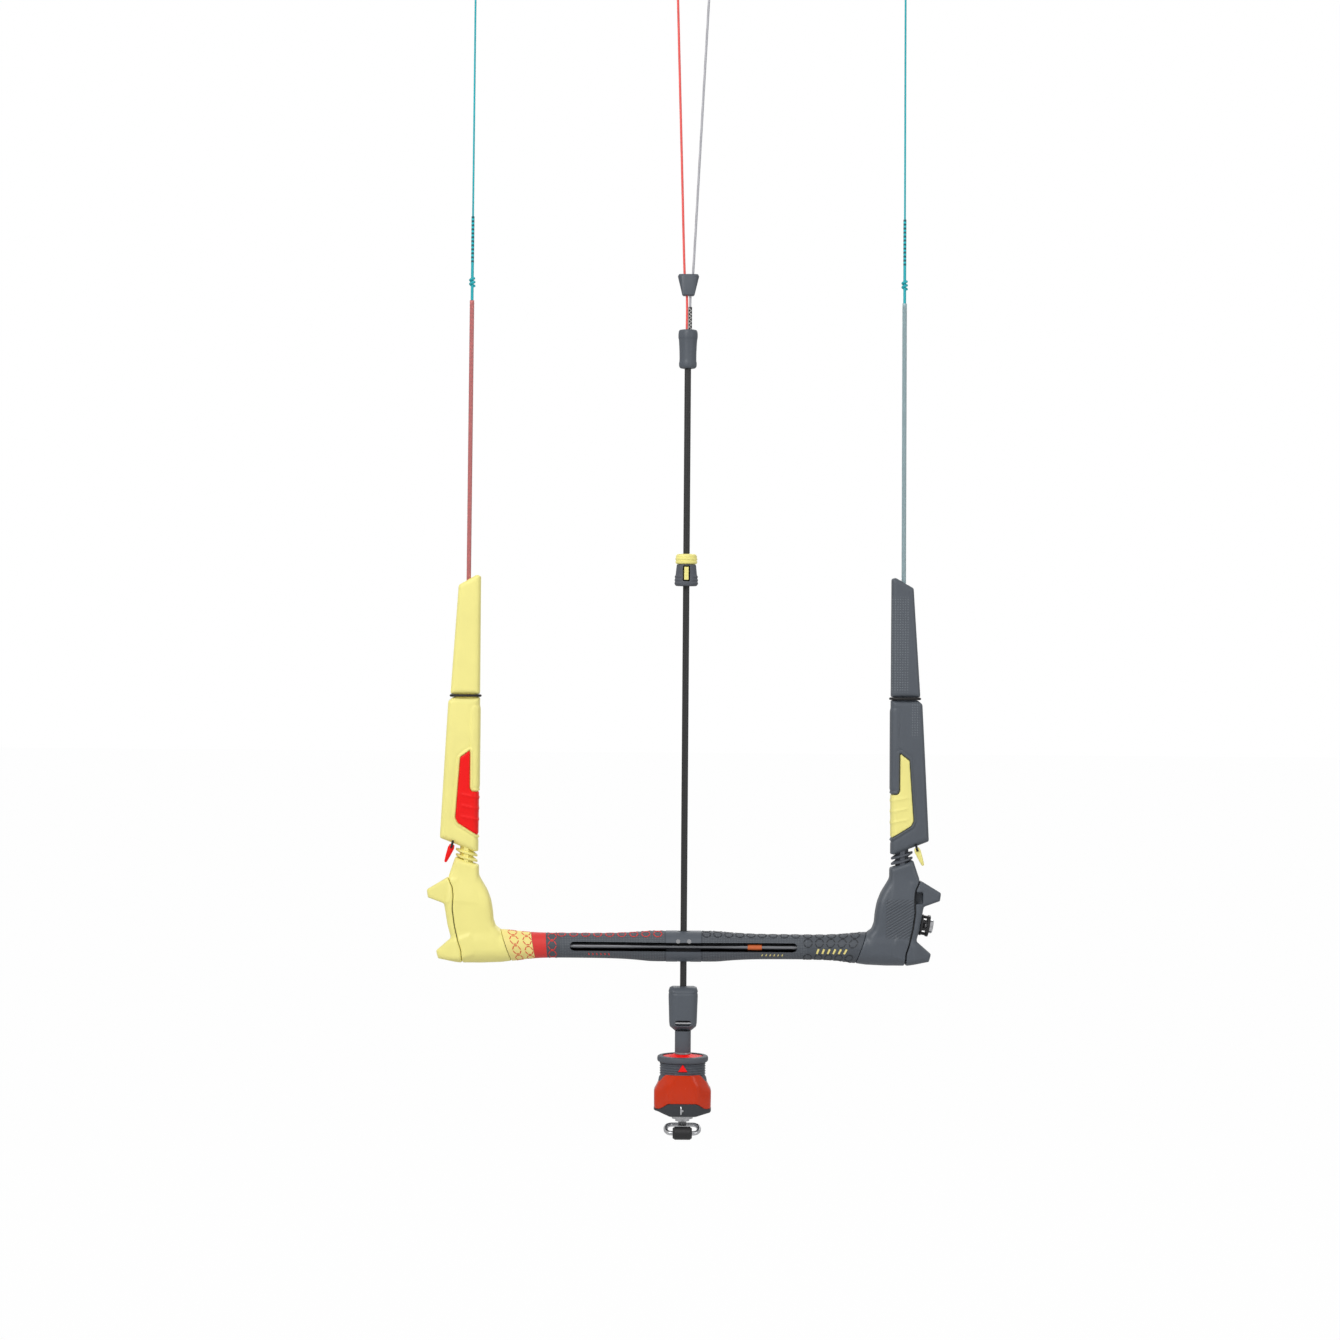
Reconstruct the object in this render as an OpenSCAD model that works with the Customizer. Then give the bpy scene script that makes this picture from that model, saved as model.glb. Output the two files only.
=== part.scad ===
// Kitesurf control bar: a grip bar with two winder ends and hinged floats, four lines,
// a main line with its stopper and splitter, and a quick release with a harness bow.
// Millimetres. +Z runs up the lines, +X along the bar to the trim knob, -Y faces the rider's view.
// The origin is on the main line's axis, at the harness eye below the quick release.

/* [Bar] */
// Distance between the two steering lines where they enter the floats
line_spacing = 435; // [400:5:470]
// Height of the bar's axis above the harness eye, at rest on the main line
bar_z = 182; // [170:1:230]
// Radius of the grip at its thinnest, beside the flared ends
grip_r = 12.4; // [11.8:0.1:13.5]
// Radius of the aluminium beam inside the grips
beam_r = 9.75; // [9.5:0.05:10]
// Half length of the indicator slot in the front of the bar
slot_half = 113.5; // [110:0.5:116]
// Height of the indicator slot
slot_h = 9.2; // [8:0.1:10]
// Half thickness of the winder ends, front to back
end_half_depth = 17; // [16:0.5:18]

/* [Floats] */
// Front-to-back thickness of the lower float body
float_depth = 25; // [24:0.5:27]
// Radius of the rubber ring between the float's two shells, at its corners
float_ring_corner_r = 6; // [5:0.5:7]

/* [Lines] */
// Diameter of the main depower line
main_d = 6.5; // [6:0.1:6.5]
// Diameter of the plastic tube over each steering leader
leader_d = 4.6; // [4:0.1:4.6]
// Diameter of each steering line above its leader
flying_d = 2; // [1.5:0.1:2.2]
// Diameter of each front line above the splitter
front_d = 2.5; // [2:0.1:2.6]

/* [Main line fittings] */
// Height at which the top sleeve ends and the front lines leave it
sleeve_top_z = 798; // [790:1:800]
// Height of the stopper's lower edge, at rest
stopper_z = 542; // [500:1:560]

/* [Quick release] */
// Width of the release collar's hard shell
shell_d = 57; // [56:0.5:60]
// Thickness of the release collar's hard shell, front to back
shell_depth = 46; // [45:0.5:50]
// Radius of the release core that the collar slides on
core_r = 13.2; // [13:0.1:13.2]
// Radius of the harness roller
roller_r = 6.5; // [6:0.1:6.5]
// Distance from the bow's hinge to the roller's axis
bow_reach = 24; // [23:0.5:28]

/* [Hidden] */
$fn = 48;

fit = 0.05;             // radial clearance of a shaft that turns or slides in its hole
gap = 0.3;              // clearance between bodies that only pass each other
line_x = line_spacing / 2;
slate = [0.36, 0.38, 0.42];
pale_yellow = [0.94, 0.92, 0.55];
red = [0.95, 0.15, 0.13];
orange_red = [0.78, 0.24, 0.06];
steel = [0.75, 0.76, 0.78];
black = [0.13, 0.13, 0.14];

// Harness end
washer_r = 10.5;
washer_top_z = 13.2;
stud_r = 4;
stud_head_r = 7;
stud_head_z = 32;
eye_z = 3.5;            // height of the bow's hinge through the stud's eye
eye_half_width = 4;
bow_wire_r = 2.25;
bow_half_width = 13.5;
bow_dip = 12;           // slope of the resting bow towards the front, degrees
roller_half_length = 9.6;

// Quick release
base_bottom_z = 13.5;
base_top_z = 27;
split_flat = 14;        // half width of the level middle of the split line
split_reach = 30;       // half width over which the split line falls to the sides
split_drop = 6;         // how far it falls over that width
bevel_share = 0.93;     // width across the bevelled corners, as a share of the shell's width
trigger_pin_r = 1.1;
trigger_pin_z = 20.5;
latch_half_width = 7.2;
latch_pivot = [10.2, 43];
latch_pin_r = 1.5;
cavity_top_z = 48;      // roof of the latch chamber in the core
collar_split_z = 48.5;  // where the rubber grip meets the hard shell
flange_bottom_z = 50;
flange_top_z = 53;
collar_cavity_r = 20.3;
collar_sleeve_r = 21.2; // outside of the shell's inner sleeve, under the rubber
collar_top_z = 73;
cap_bottom_z = 69;
leash_eye = [31, 20];   // Y and Z of the leash eye's centre, behind the base
leash_eye_r = 4;

// Swivel and main line
neck_stem_r = 5;
neck_head_r = 7.7;
neck_r = 8;
neck_bottom_z = 76;
housing_bottom_z = 97.5;
housing_top_z = 142;
knot_r = 6;
knot_z = [111, 122];
main_top_z = 778;
sleeve_bottom_z = 759.5;
splitter_z = [832, 854];
stopper_split_z = 22;   // height of the stopper's body, below its cap
stopper_top_z = 32;

// Points on the front lines' centrelines, from inside the top sleeve to the knots
red_route = [[-1.4, 0, 788], [-1.4, 0, 830], [-4, 0, 856], [-7, 0, 950], [-10, 0, 1045],
             [-12.6, 0, 1128], [-13, 0, 1141]];
grey_route = [[2, 0, 788], [2, 0, 830], [4.6, 0, 856], [9.4, 0, 950], [14.2, 0, 1045],
              [18.4, 0, 1128], [19, 0, 1141]];

// The bar, measured along X and from its own axis
centre_half = 17.6;
centre_r = 15.6;
beam_half = line_x - 21.5;
guide_r = 8;
guide_front = -4;
guide_back = 5;
rod_y = -7.2;
rod_r = 2.2;
slot_floor_y = -4.3;
marker_x = [64, 78];
marker_r = 2.9;
screw_x = 5.5;
screw_z = 6;

// A winder end, measured from the steering line's axis and the bar's axis
seam_top = [-35, 15.5];
seam_bottom = [-46, -15.3];
cap_seam = [[18, 67], [14, 56], [15.5, 37], [13, 20], [9.5, 6], [5.5, -4], [5, -16.5]];
end_outline = concat([seam_bottom, seam_top, [-29.5, 19], [-27, 24], [-26, 31], [-22.5, 48],
                      [-18.5, 57], [-14.5, 66], [-10.5, 72], [-10.5, 78.5], [11.5, 86]],
                     cap_seam, [[-38, -16.5]]);
horn_outline = [[5, -16.5], [27.5, -13], [29.5, -5.5], [15.5, 6], [18, 20], [21.5, 41],
                [38.5, 47], [39.5, 55], [19.5, 67], [18, 67]];
neck_floor = 76;
neck_core_r = 6.3;
neck_top = 101.6;
rib_slope = 16.7;
sheave_at = [-7.5, 4];
sheave_r = 7.5;
axle_r = 2;
knob_at = [18.3, 23.5];
knob_tilt = 9.7;
spool_r = 8;
shaft_r = 3.5;
stem_r = 2.5;

// A float, in the same frame as its winder end
float_body_rounds = [[-5.5, 101.2], [21.2, 111.3], [14.2, 242.6], [-7, 242.6]];
float_body_round_r = 5;
float_sleeve_low = [[-8.5, 254.4], [12.5, 254.4]];
float_sleeve_high = [[-7.5, 362.8], [5.3, 354.9]];
float_sleeve_round_r = 4;
ring_z = [247.6, 250.4];
spigot_r = 8;
spigot_top = 262;
accent_outline = [[-3.5, 195], [6.5, 187.5], [11, 127], [8.5, 122], [-10.5, 111], [-10.5, 153],
                  [-4, 156]];
accent_floor = 10;      // half distance between the floors of the front and back pockets
tab_pivot = [13.5, -7, 103.9];
tab_pin_r = 1.2;

// Points on a steering line's centreline, from inside the float to the knot and on to the end
leader_route = [[1, 0, 134], [0.5, 0, 250], [0, 0, 366], [-0.5, 0, 482], [-1, 0, 598],
                [-1.2, 0, 644]];
flying_route = [[-1.2, 0, 644], [-1.5, 0, 714], [-2, 0, 830], [-2.5, 0, 946], [-2.6, 0, 959]];
line_lean = atan(0.5 / 116);

// ---------------------------------------------------------------- helpers

// A tube along a route: a ring of corners square to the run at each point, closed at both ends
module swept_tube(route, r, sides = 8) {
    last = len(route) - 1;
    rings = [for (i = [0 : last])
        let (run = route[min(i + 1, last)] - route[max(i - 1, 0)],
             along = run / norm(run),
             across = cross(along, [0, 1, 0]),
             side = across / norm(across),
             over = cross(along, side))
        for (k = [0 : sides - 1])
            route[i] + r * (cos(360 * k / sides) * side + sin(360 * k / sides) * over)];
    walls = [for (i = [0 : last - 1]) for (k = [0 : sides - 1]) for (half = [0, 1])
        let (low = i * sides, high = low + sides, next = (k + 1) % sides)
        half == 0 ? [low + k, high + next, low + next] : [low + k, high + k, high + next]];
    polyhedron(points = rings,
               faces = concat([[for (k = [0 : sides - 1]) k]], walls,
                              [[for (k = [sides - 1 : -1 : 0]) last * sides + k]]),
               convexity = 4);
}

// A round bar along X between two places
module x_bar(r, x0, x1, y = 0, z = 0) {
    translate([x0, y, z]) rotate([0, 90, 0]) cylinder(r = r, h = x1 - x0);
}

// A round bar along Y between two places
module y_bar(r, y0, y1, x = 0, z = 0) {
    translate([x, y0, z]) rotate([-90, 0, 0]) cylinder(r = r, h = y1 - y0);
}

// A round bar along Z between two heights
module z_bar(r, z0, z1, x = 0, y = 0) {
    translate([x, y, z0]) cylinder(r = r, h = z1 - z0);
}

// A front outline in X and Z, given thickness from one Y to another
module slab(outline, y0, y1) {
    translate([0, y1, 0]) rotate([90, 0, 0]) linear_extrude(y1 - y0) polygon(outline);
}

// The frame of one winder end: its steering line's axis and the bar's axis
module at_end(side) {
    mirror([side < 0 ? 1 : 0, 0, 0]) translate([line_x, 0, bar_z]) children();
}

// The trim knob's axis within the right winder end's frame, running outwards
module knob_place() {
    translate([knob_at[0], 0, knob_at[1]]) rotate([0, 90 + knob_tilt, 0]) children();
}

module at_knob() at_end(1) knob_place() children();

// The bow's own frame: hinge at the eye, +X across, reaching out along -Y
module at_bow() {
    translate([0, 0, eye_z]) rotate([bow_dip, 0, 0]) children();
}

// A line's end: a knot with a loop above it
module end_loop(at, r, loop_r = 7) {
    translate(at) sphere(r = 2.2 * r);
    translate(at + [0, 0, loop_r + r]) rotate([90, 0, 0]) rotate_extrude() translate([loop_r, 0]) circle(r = r);
}

// ---------------------------------------------------------------- harness end

module swivel_stud() color(steel) {
    z_bar(stud_head_r, 7.5, 10);
    z_bar(washer_r, 10, washer_top_z);
    z_bar(stud_r, washer_top_z, stud_head_z);
    z_bar(stud_head_r, stud_head_z, stud_head_z + 5);
    difference() {
        union() {
            x_bar(4.2, -eye_half_width, eye_half_width, 0, eye_z);
            translate([-eye_half_width, -4.2, eye_z]) cube([2 * eye_half_width, 8.4, 7.5 - eye_z]);
        }
        x_bar(bow_wire_r + fit, -10, 10, 0, eye_z);
    }
}

module harness_bow() color(steel) at_bow() {
    x_bar(bow_wire_r, -bow_half_width, bow_half_width);
    for (side = [-1, 1]) {
        translate([side * (bow_half_width - 0.5), 0, 0]) difference() {
            union() {
                x_bar(3, -2.2, 2.2);
                translate([-2.2, -bow_reach, -3]) cube([4.4, bow_reach, 6]);
                x_bar(4.6, -2.2, 2.2, -bow_reach);
            }
            x_bar(bow_wire_r, -3, 3, -bow_reach);
        }
    }
}

module roller_pin() color(steel) at_bow() {
    x_bar(bow_wire_r, -16.2, 16.2, -bow_reach);
    for (side = [-1, 1]) {
        x_bar(3.4, side * 16.7 - 1.5, side * 16.7 + 1.5, -bow_reach);
    }
}

module harness_roller() color(black) at_bow() translate([0, -bow_reach, 0]) rotate([0, 90, 0])
    rotate_extrude() polygon([
        [bow_wire_r + fit, -roller_half_length], [roller_r - 1.6, -roller_half_length],
        [roller_r, -roller_half_length + 2.2], [roller_r, roller_half_length - 2.2],
        [roller_r - 1.6, roller_half_length], [bow_wire_r + fit, roller_half_length]]);

// ---------------------------------------------------------------- quick release

// Everything above the split line between the base and the collar, raised by a clearance
module above_split(lift) {
    far = 40;
    top = base_top_z + lift;
    side = top - split_drop * (far - split_flat) / (split_reach - split_flat);
    slab([[-far, 90], [-far, side], [-split_flat, top], [split_flat, top], [far, side], [far, 90]],
         -far, far);
}

// The collar's outline from above: a round body with flat front and back and bevelled corners
module shell_plan() {
    intersection() {
        circle(d = shell_d);
        square([shell_d, shell_depth], center = true);
        rotate(45) square(shell_d * bevel_share, center = true);
    }
}

module release_base() color(black) difference() {
    union() {
        intersection() {
            translate([0, 0, base_bottom_z]) linear_extrude(base_top_z - base_bottom_z) shell_plan();
            slab([[-30, 18.5], [-14.5, 13.5], [14.5, 13.5], [30, 16.5], [30, 27], [-30, 27]], -30, 30);
        }
        x_bar(leash_eye_r + 3.2, -2.5, 2.5, leash_eye[0], leash_eye[1]);
        translate([-2.5, 20, leash_eye[1] - 5]) cube([5, leash_eye[0] - 20, 7]);
    }
    above_split(0);
    z_bar(stud_r + fit, 0, 40);
    x_bar(leash_eye_r, -5, 5, leash_eye[0], leash_eye[1]);
    y_bar(trigger_pin_r, -26, -17, 0, trigger_pin_z);
}

module release_core() color(steel) difference() {
    z_bar(core_r, base_top_z, cap_bottom_z);
    translate([-core_r - 1, -latch_half_width - gap, base_top_z - 1])
        cube([2 * core_r + 2, 2 * (latch_half_width + gap), cavity_top_z - base_top_z + 1]);
    z_bar(neck_head_r + gap, 52, 60.6);
    z_bar(neck_stem_r + fit, 60, 80);
    for (side = [-1, 1]) {
        y_bar(latch_pin_r, -20, 20, side * latch_pivot[0], latch_pivot[1]);
    }
}

module release_cap() color(red) difference() {
    union() {
        z_bar(20, cap_bottom_z, 72);
        translate([0, 0, 72]) cylinder(r1 = 14, r2 = 9.5, h = 2.2);
    }
    z_bar(neck_stem_r + fit, 60, 80);
}

// The two latch pivots, and the small trigger pin in the front of the base
module release_pins() color(steel) {
    intersection() {
        for (side = [-1, 1]) {
            y_bar(latch_pin_r, -8.2, 8.2, side * latch_pivot[0], latch_pivot[1]);
        }
        z_bar(core_r, latch_pivot[1] - 5, latch_pivot[1] + 5);
    }
    y_bar(trigger_pin_r, -24, -17, 0, trigger_pin_z);
}

module collar_spring() color(steel) {
    turns = 4;
    steps = 20;
    low = flange_top_z + 1;
    high = cap_bottom_z - 1;
    swept_tube([for (i = [0 : turns * steps])
        [17 * cos(360 * i / steps), 17 * sin(360 * i / steps), low + (high - low) * i / (turns * steps)]],
        0.9, 6);
}

// A latch jaw. Its lower inner corner is bevelled so that it clears the base as it swings out
module latch(side) color(steel) mirror([side < 0 ? 1 : 0, 0, 0]) difference() {
    intersection() {
        slab([[4.7, 28.5], [8, 27.7], [core_r, 27.7], [core_r, 46], [7.6, 46], [7.6, 31.6], [4.7, 31.6]],
             -latch_half_width, latch_half_width);
        z_bar(core_r - gap, 20, 50);
    }
    y_bar(latch_pin_r + fit, -20, 20, latch_pivot[0], latch_pivot[1]);
}

module collar_shell() color(orange_red) difference() {
    union() {
        translate([0, 0, 20]) linear_extrude(collar_split_z - 20) shell_plan();
        z_bar(collar_sleeve_r, collar_split_z, 66);
    }
    difference() {
        translate([-50, -50, 0]) cube([100, 100, base_top_z + 1]);
        above_split(gap);
    }
    z_bar(collar_cavity_r, 10, 38);
    z_bar(core_r + 0.7, 30, flange_bottom_z);
    z_bar(core_r + fit, 40, 60);
    z_bar(collar_cavity_r, flange_top_z, 80);
}

module collar_grip() color(slate) rotate_extrude() polygon([
    [collar_sleeve_r, collar_split_z], [24, collar_split_z], [22.3, 55], [22.3, 62], [24.2, 66],
    [25.5, 67.5], [25.5, 72], [24.8, collar_top_z], [collar_cavity_r, collar_top_z],
    [collar_cavity_r, 66], [collar_sleeve_r, 66]]);

// ---------------------------------------------------------------- swivel and main line

module swivel_neck() color(slate) {
    z_bar(neck_head_r, 52.4, 60);
    z_bar(neck_stem_r, 60, neck_bottom_z);
    z_bar(neck_r, neck_bottom_z, housing_bottom_z);
}

module swivel_ring() color(steel) difference() {
    z_bar(neck_r, 74.5, neck_bottom_z);
    z_bar(neck_stem_r, 70, 80);
}

module swivel_housing() color(slate) difference() {
    rotate_extrude() polygon([
        [0, housing_bottom_z], [9.5, housing_bottom_z], [13.3, 102], [13.6, 104], [14.6, 130],
        [14.6, 134], [14.2, 139], [12.4, housing_top_z], [0, housing_top_z]]);
    z_bar(main_d / 2, 105, 150);
    z_bar(knot_r, knot_z[0], knot_z[1]);
    translate([-8.5, -20, 103.7]) cube([17, 15, 4.6]);
    x_bar(1.5, -10.5, 10.5, -8.5, 106);
}

module housing_pin() color(steel) x_bar(1.5, -10.5, 10.5, -8.5, 106);

module main_line() color(black) {
    z_bar(knot_r, knot_z[0], knot_z[1]);
    z_bar(main_d / 2, knot_z[1], main_top_z);
}

module top_sleeve() color(slate) difference() {
    rotate_extrude() polygon([
        [0, sleeve_bottom_z], [7.2, sleeve_bottom_z], [8.4, 762], [8.7, 775], [9.3, 790],
        [9.1, 796], [8, sleeve_top_z], [0, sleeve_top_z]]);
    z_bar(main_d / 2, 750, main_top_z);
    for (x = [red_route[0][0], grey_route[0][0]]) {
        z_bar(front_d / 2 + 0.1, 780, 810, x);
    }
}

module line_splitter() color(slate) difference() {
    slab([[-6.3, splitter_z[0]], [6.3, splitter_z[0]], [10.6, splitter_z[1] - 2],
          [9, splitter_z[1]], [-9, splitter_z[1]], [-10.6, splitter_z[1] - 2]], -5.5, 5.5);
    for (route = [red_route, grey_route]) {
        lean = atan2(route[2][0] - route[1][0], route[2][2] - route[1][2]);
        translate(route[1]) rotate([0, lean, 0]) z_bar(front_d / 2 + 0.35, -5, 40);
    }
}

module red_front_line() color(red) {
    swept_tube(red_route, front_d / 2);
    end_loop(red_route[len(red_route) - 1], front_d / 2);
}

// The grey line has a sewn cover where it leaves the top sleeve
module grey_front_line() color([0.65, 0.65, 0.67]) {
    swept_tube(grey_route, front_d / 2);
    end_loop(grey_route[len(grey_route) - 1], front_d / 2);
    z_bar(1.75, sleeve_top_z, 821, grey_route[0][0]);
}

// ---------------------------------------------------------------- stopper

module stopper_body() color(slate) translate([0, 0, stopper_z]) difference() {
    rotate_extrude() polygon([
        [0, 0], [9.4, 0], [10.3, 1.2], [10.9, 5], [11.5, 5.6], [11.5, 8], [11, 8.6], [11.5, 9.2],
        [11.5, 11.6], [10.9, 12.2], [11, 16], [10.3, stopper_split_z], [0, stopper_split_z]]);
    z_bar(main_d / 2 + fit, -5, 50);
    translate([-3.15, -20, 5]) cube([6.3, 16.4, 15]);
}

module stopper_cap() color(pale_yellow) translate([0, 0, stopper_z]) difference() {
    rotate_extrude() polygon([
        [0, stopper_split_z], [10.6, stopper_split_z], [11, 23], [11, 25.5], [10.2, 26.2],
        [11, 27], [11, 30], [9.6, stopper_top_z], [0, stopper_top_z]]);
    z_bar(main_d / 2 + fit, -5, 50);
    z_bar(7, stopper_split_z, 28);
}

module stopper_clamp() color(black) translate([0, 0, stopper_z]) difference() {
    z_bar(7, stopper_split_z, 28);
    z_bar(main_d / 2 + fit, -5, 50);
}

module stopper_button() color(pale_yellow) translate([-2.15, -11.7, stopper_z + 6.1])
    cube([4.3, 6, 12.8]);

// ---------------------------------------------------------------- bar

module at_bar() translate([0, 0, bar_z]) children();

// The flared passage that lets the bar tip on the main line
module line_passage() {
    slab([[-6.9, 17], [-3.7, 0], [-6.9, -17], [6.9, -17], [3.7, 0], [6.9, 17]], -3.8, 3.8);
}

// The indicator slot through the front wall
module front_slot() {
    translate([-slot_half + slot_h / 2, -25, -slot_h / 2])
        cube([2 * slot_half - slot_h, 25 + slot_floor_y, slot_h]);
    for (side = [-1, 1]) {
        y_bar(slot_h / 2, -25, slot_floor_y, side * (slot_half - slot_h / 2), 0);
    }
}

module guide_pocket() y_bar(guide_r + fit, guide_front - gap, guide_back + gap);

module line_guide() color(black) at_bar() difference() {
    y_bar(guide_r, guide_front, guide_back);
    z_bar(main_d / 2 + fit, -20, 20);
}

module bar_beam() color(steel) at_bar() difference() {
    x_bar(beam_r, -beam_half, beam_half);
    x_bar(5, -beam_half - 1, beam_half + 1);
    front_slot();
    guide_pocket();
    line_passage();
    x_bar(rod_r, -slot_half - 4.5, slot_half + 4.5, rod_y);
    for (side = [-1, 1]) {
        y_bar(1, -12, -5.2, side * screw_x, screw_z);
    }
}

// The grip swells beside the centre insert and again towards the winder end
module grip_half() {
    difference() {
        rotate([0, 90, 0]) rotate_extrude() polygon([
            [beam_r, centre_half], [15.3, centre_half], [15.2, 34], [14.2, 44], [13.2, 58],
            [grip_r + 0.2, 76], [grip_r, 100], [grip_r + 0.1, 144], [13.2, 158], [14.4, 168],
            [15.6, 180], [15.9, line_x + seam_top[0]], [beam_r, line_x + seam_top[0]]]);
        translate([line_x, 0, 0]) slab([seam_top, seam_bottom, seam_bottom + [-1.79, -5],
            [0, -25], [0, 25], seam_top + [1.79, 5]], -30, 30);
        front_slot();
    }
}

module left_grip() color(slate) at_bar() mirror([1, 0, 0]) grip_half();

module right_grip() color(slate) at_bar() grip_half();

// One half of the centre insert, cut by everything that passes through the bar's middle
module centre_half_shell(front) {
    difference() {
        intersection() {
            x_bar(centre_r, -centre_half, centre_half);
            translate([-25, front ? -25 : 0, -25]) cube([50, 25, 50]);
        }
        x_bar(beam_r, -20, 20);
        line_passage();
        if (front) {
            front_slot();
            for (side = [-1, 1]) {
                y_bar(2.1, -20, -12.8, side * screw_x, screw_z);
                y_bar(1, -20, 0, side * screw_x, screw_z);
            }
        }
    }
}

module centre_front() color(slate) at_bar() centre_half_shell(true);

module centre_rear() color(slate) at_bar() centre_half_shell(false);

module centre_screws() color(steel) at_bar() for (side = [-1, 1]) {
    y_bar(2.1, -14.7, -12.8, side * screw_x, screw_z);
    y_bar(1, -12.8, -5.2, side * screw_x, screw_z);
}

module indicator_rod() color([0.5, 0.5, 0.52]) at_bar()
    x_bar(rod_r, -slot_half - 4.5, slot_half + 4.5, rod_y);

module trim_marker() color([0.85, 0.43, 0.24]) at_bar() difference() {
    x_bar(marker_r, marker_x[0], marker_x[1], rod_y);
    x_bar(rod_r + fit, 0, 100, rod_y);
}

// ---------------------------------------------------------------- winder ends

// A winder end narrows from the bar up to the neck, seen from the side
module end_depth() {
    depth = end_half_depth;
    side_outline = [[-9, -17], [-depth, -6], [-depth, 34], [-11.5, 70], [-11, 90],
                    [11, 90], [11.5, 70], [depth, 34], [depth, -6], [9, -17]];
    translate([-34, 0, 0]) rotate([90, 0, 90]) linear_extrude(80) polygon(side_outline);
}

module bar_end(side) color(side < 0 ? pale_yellow : slate) at_end(side) difference() {
    intersection() {
        slab(end_outline, -25, 25);
        union() {
            end_depth();
            x_bar(16.4, -60, 0);
        }
    }
    x_bar(beam_r, -60, -21.5);
    z_bar(neck_core_r, neck_floor, 100);
    z_bar(3.4, 8, 100);
    x_bar(3.4, -30, -12, 0, -3);
    if (side < 0) {
        y_bar(sheave_r + 0.8, -3.3, 3.3, sheave_at[0], sheave_at[1]);
        y_bar(axle_r + fit, -7.3, 7.3, sheave_at[0], sheave_at[1]);
    } else {
        knob_place() {
            z_bar(spool_r + 0.4, -24.4, -5.6);
            z_bar(shaft_r + fit, -10, 10);
            z_bar(stem_r + fit, -28.3, -20);
        }
    }
}

// The outer cap carries the two horns that the lines are wound on
module winder(side) color(side < 0 ? pale_yellow : slate) at_end(side) difference() {
    intersection() {
        slab(concat(horn_outline, [for (i = [1 : len(cap_seam) - 2]) cap_seam[i]]), -20, 20);
        end_depth();
    }
    if (side > 0) {
        knob_place() z_bar(shaft_r + fit, -20, 20);
    }
}

// The rubber neck: a core with three sloping ribs
module neck(side) color(side < 0 ? pale_yellow : slate) at_end(side) {
    z_bar(neck_core_r, neck_floor, neck_top);
    for (z = [85.3, 90.3, 95.3]) {
        translate([0, 0, z]) rotate([0, -rib_slope, 0]) z_bar(10.9, -1, 1);
    }
}

// The grooved wheel that turns the left steering line into the bar, on its own axle stubs
module left_sheave() color(steel) at_end(-1) translate([sheave_at[0], 0, sheave_at[1]]) {
    rotate([90, 0, 0]) rotate_extrude() polygon([
        [0, -3], [sheave_r, -3], [sheave_r, -2], [sheave_r - 2, 0], [sheave_r, 2],
        [sheave_r, 3], [0, 3]]);
    y_bar(axle_r, -7, 7);
}

// ---------------------------------------------------------------- trim knob

module trim_knob() color(black) at_knob() difference() {
    union() {
        z_bar(10.5, 0.5, 2.5);
        z_bar(5.5, 2.5, 5.2);
        difference() {
            z_bar(10.75, 7, 9.5);
            z_bar(7.2, 5, 10);
        }
        for (k = [0 : 7]) {
            rotate(45 * k + 22.5) z_bar(1.3, 2, 7.5, 9);
        }
    }
    z_bar(stem_r + fit, -3, 6);
}

module trim_spool() color(steel) at_knob() difference() {
    union() {
        z_bar(spool_r, -24, -22.5);
        z_bar(spool_r - 2, -22.5, -7.5);
        z_bar(spool_r, -7.5, -6);
        z_bar(shaft_r, -6, 0.5);
        z_bar(stem_r, -28, -24);
    }
    z_bar(stem_r + fit, -3, 6);
}

module trim_button() color(steel) at_knob() {
    z_bar(stem_r, -0.5, 7.5);
    z_bar(6.9, 7.5, 12.4);
    translate([0, 0, 12.4]) cylinder(r1 = 6.9, r2 = 6.1, h = 0.9);
}

// ---------------------------------------------------------------- floats

// The hole that the leader slides in, along the line's own lean
module leader_bore() {
    translate([0, 0, leader_route[2][2]]) rotate([0, -line_lean, 0])
        z_bar(leader_d / 2 + 0.4, -300, 20);
}

// The lower float's rounded body, grown by a margin
module float_hull(grow) {
    y_round = float_depth / 2 - float_body_round_r;
    hull() for (p = float_body_rounds, y = [-y_round, y_round]) {
        translate([p[0], y, p[1]]) sphere(r = float_body_round_r + grow, $fn = 32);
    }
}

module float_body(side) color(side < 0 ? pale_yellow : slate) at_end(side) difference() {
    union() {
        float_hull(0);
        z_bar(spigot_r, ring_z[0] - 4, spigot_top);
    }
    slab(accent_outline, -30, -accent_floor);
    slab(accent_outline, accent_floor, 30);
    leader_bore();
    z_bar(neck_core_r + gap, 80, neck_top + gap);
    translate(tab_pivot) y_bar(tab_pin_r + gap, -2.3, 2.3);
    translate(tab_pivot) z_bar(2.3, -3, 0);
}

// The coloured inlay on the front and back of a float
module float_accent(side) color(side < 0 ? red : pale_yellow) at_end(side) intersection() {
    float_hull(0.4);
    union() {
        slab(accent_outline, -30, -accent_floor);
        slab(accent_outline, accent_floor, 30);
    }
}

module float_sleeve(side) color(side < 0 ? pale_yellow : slate) at_end(side) difference() {
    hull() {
        for (p = float_sleeve_low, y = [-7, 7]) {
            translate([p[0], y, p[1]]) sphere(r = float_sleeve_round_r, $fn = 32);
        }
        for (p = float_sleeve_high, y = [-4.5, 4.5]) {
            translate([p[0], y, p[1]]) sphere(r = float_sleeve_round_r, $fn = 32);
        }
    }
    z_bar(spigot_r, ring_z[0] - 4, spigot_top);
    leader_bore();
}

module float_ring(side) color(black) at_end(side) difference() {
    translate([0, 0, ring_z[0]]) linear_extrude(ring_z[1] - ring_z[0]) hull()
        for (x = [-7.5, 12.5], y = [-7.2, 7.2]) {
            translate([x, y]) circle(r = float_ring_corner_r);
        }
    z_bar(spigot_r, ring_z[0] - 4, spigot_top);
}

// ---------------------------------------------------------------- steering lines

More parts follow.
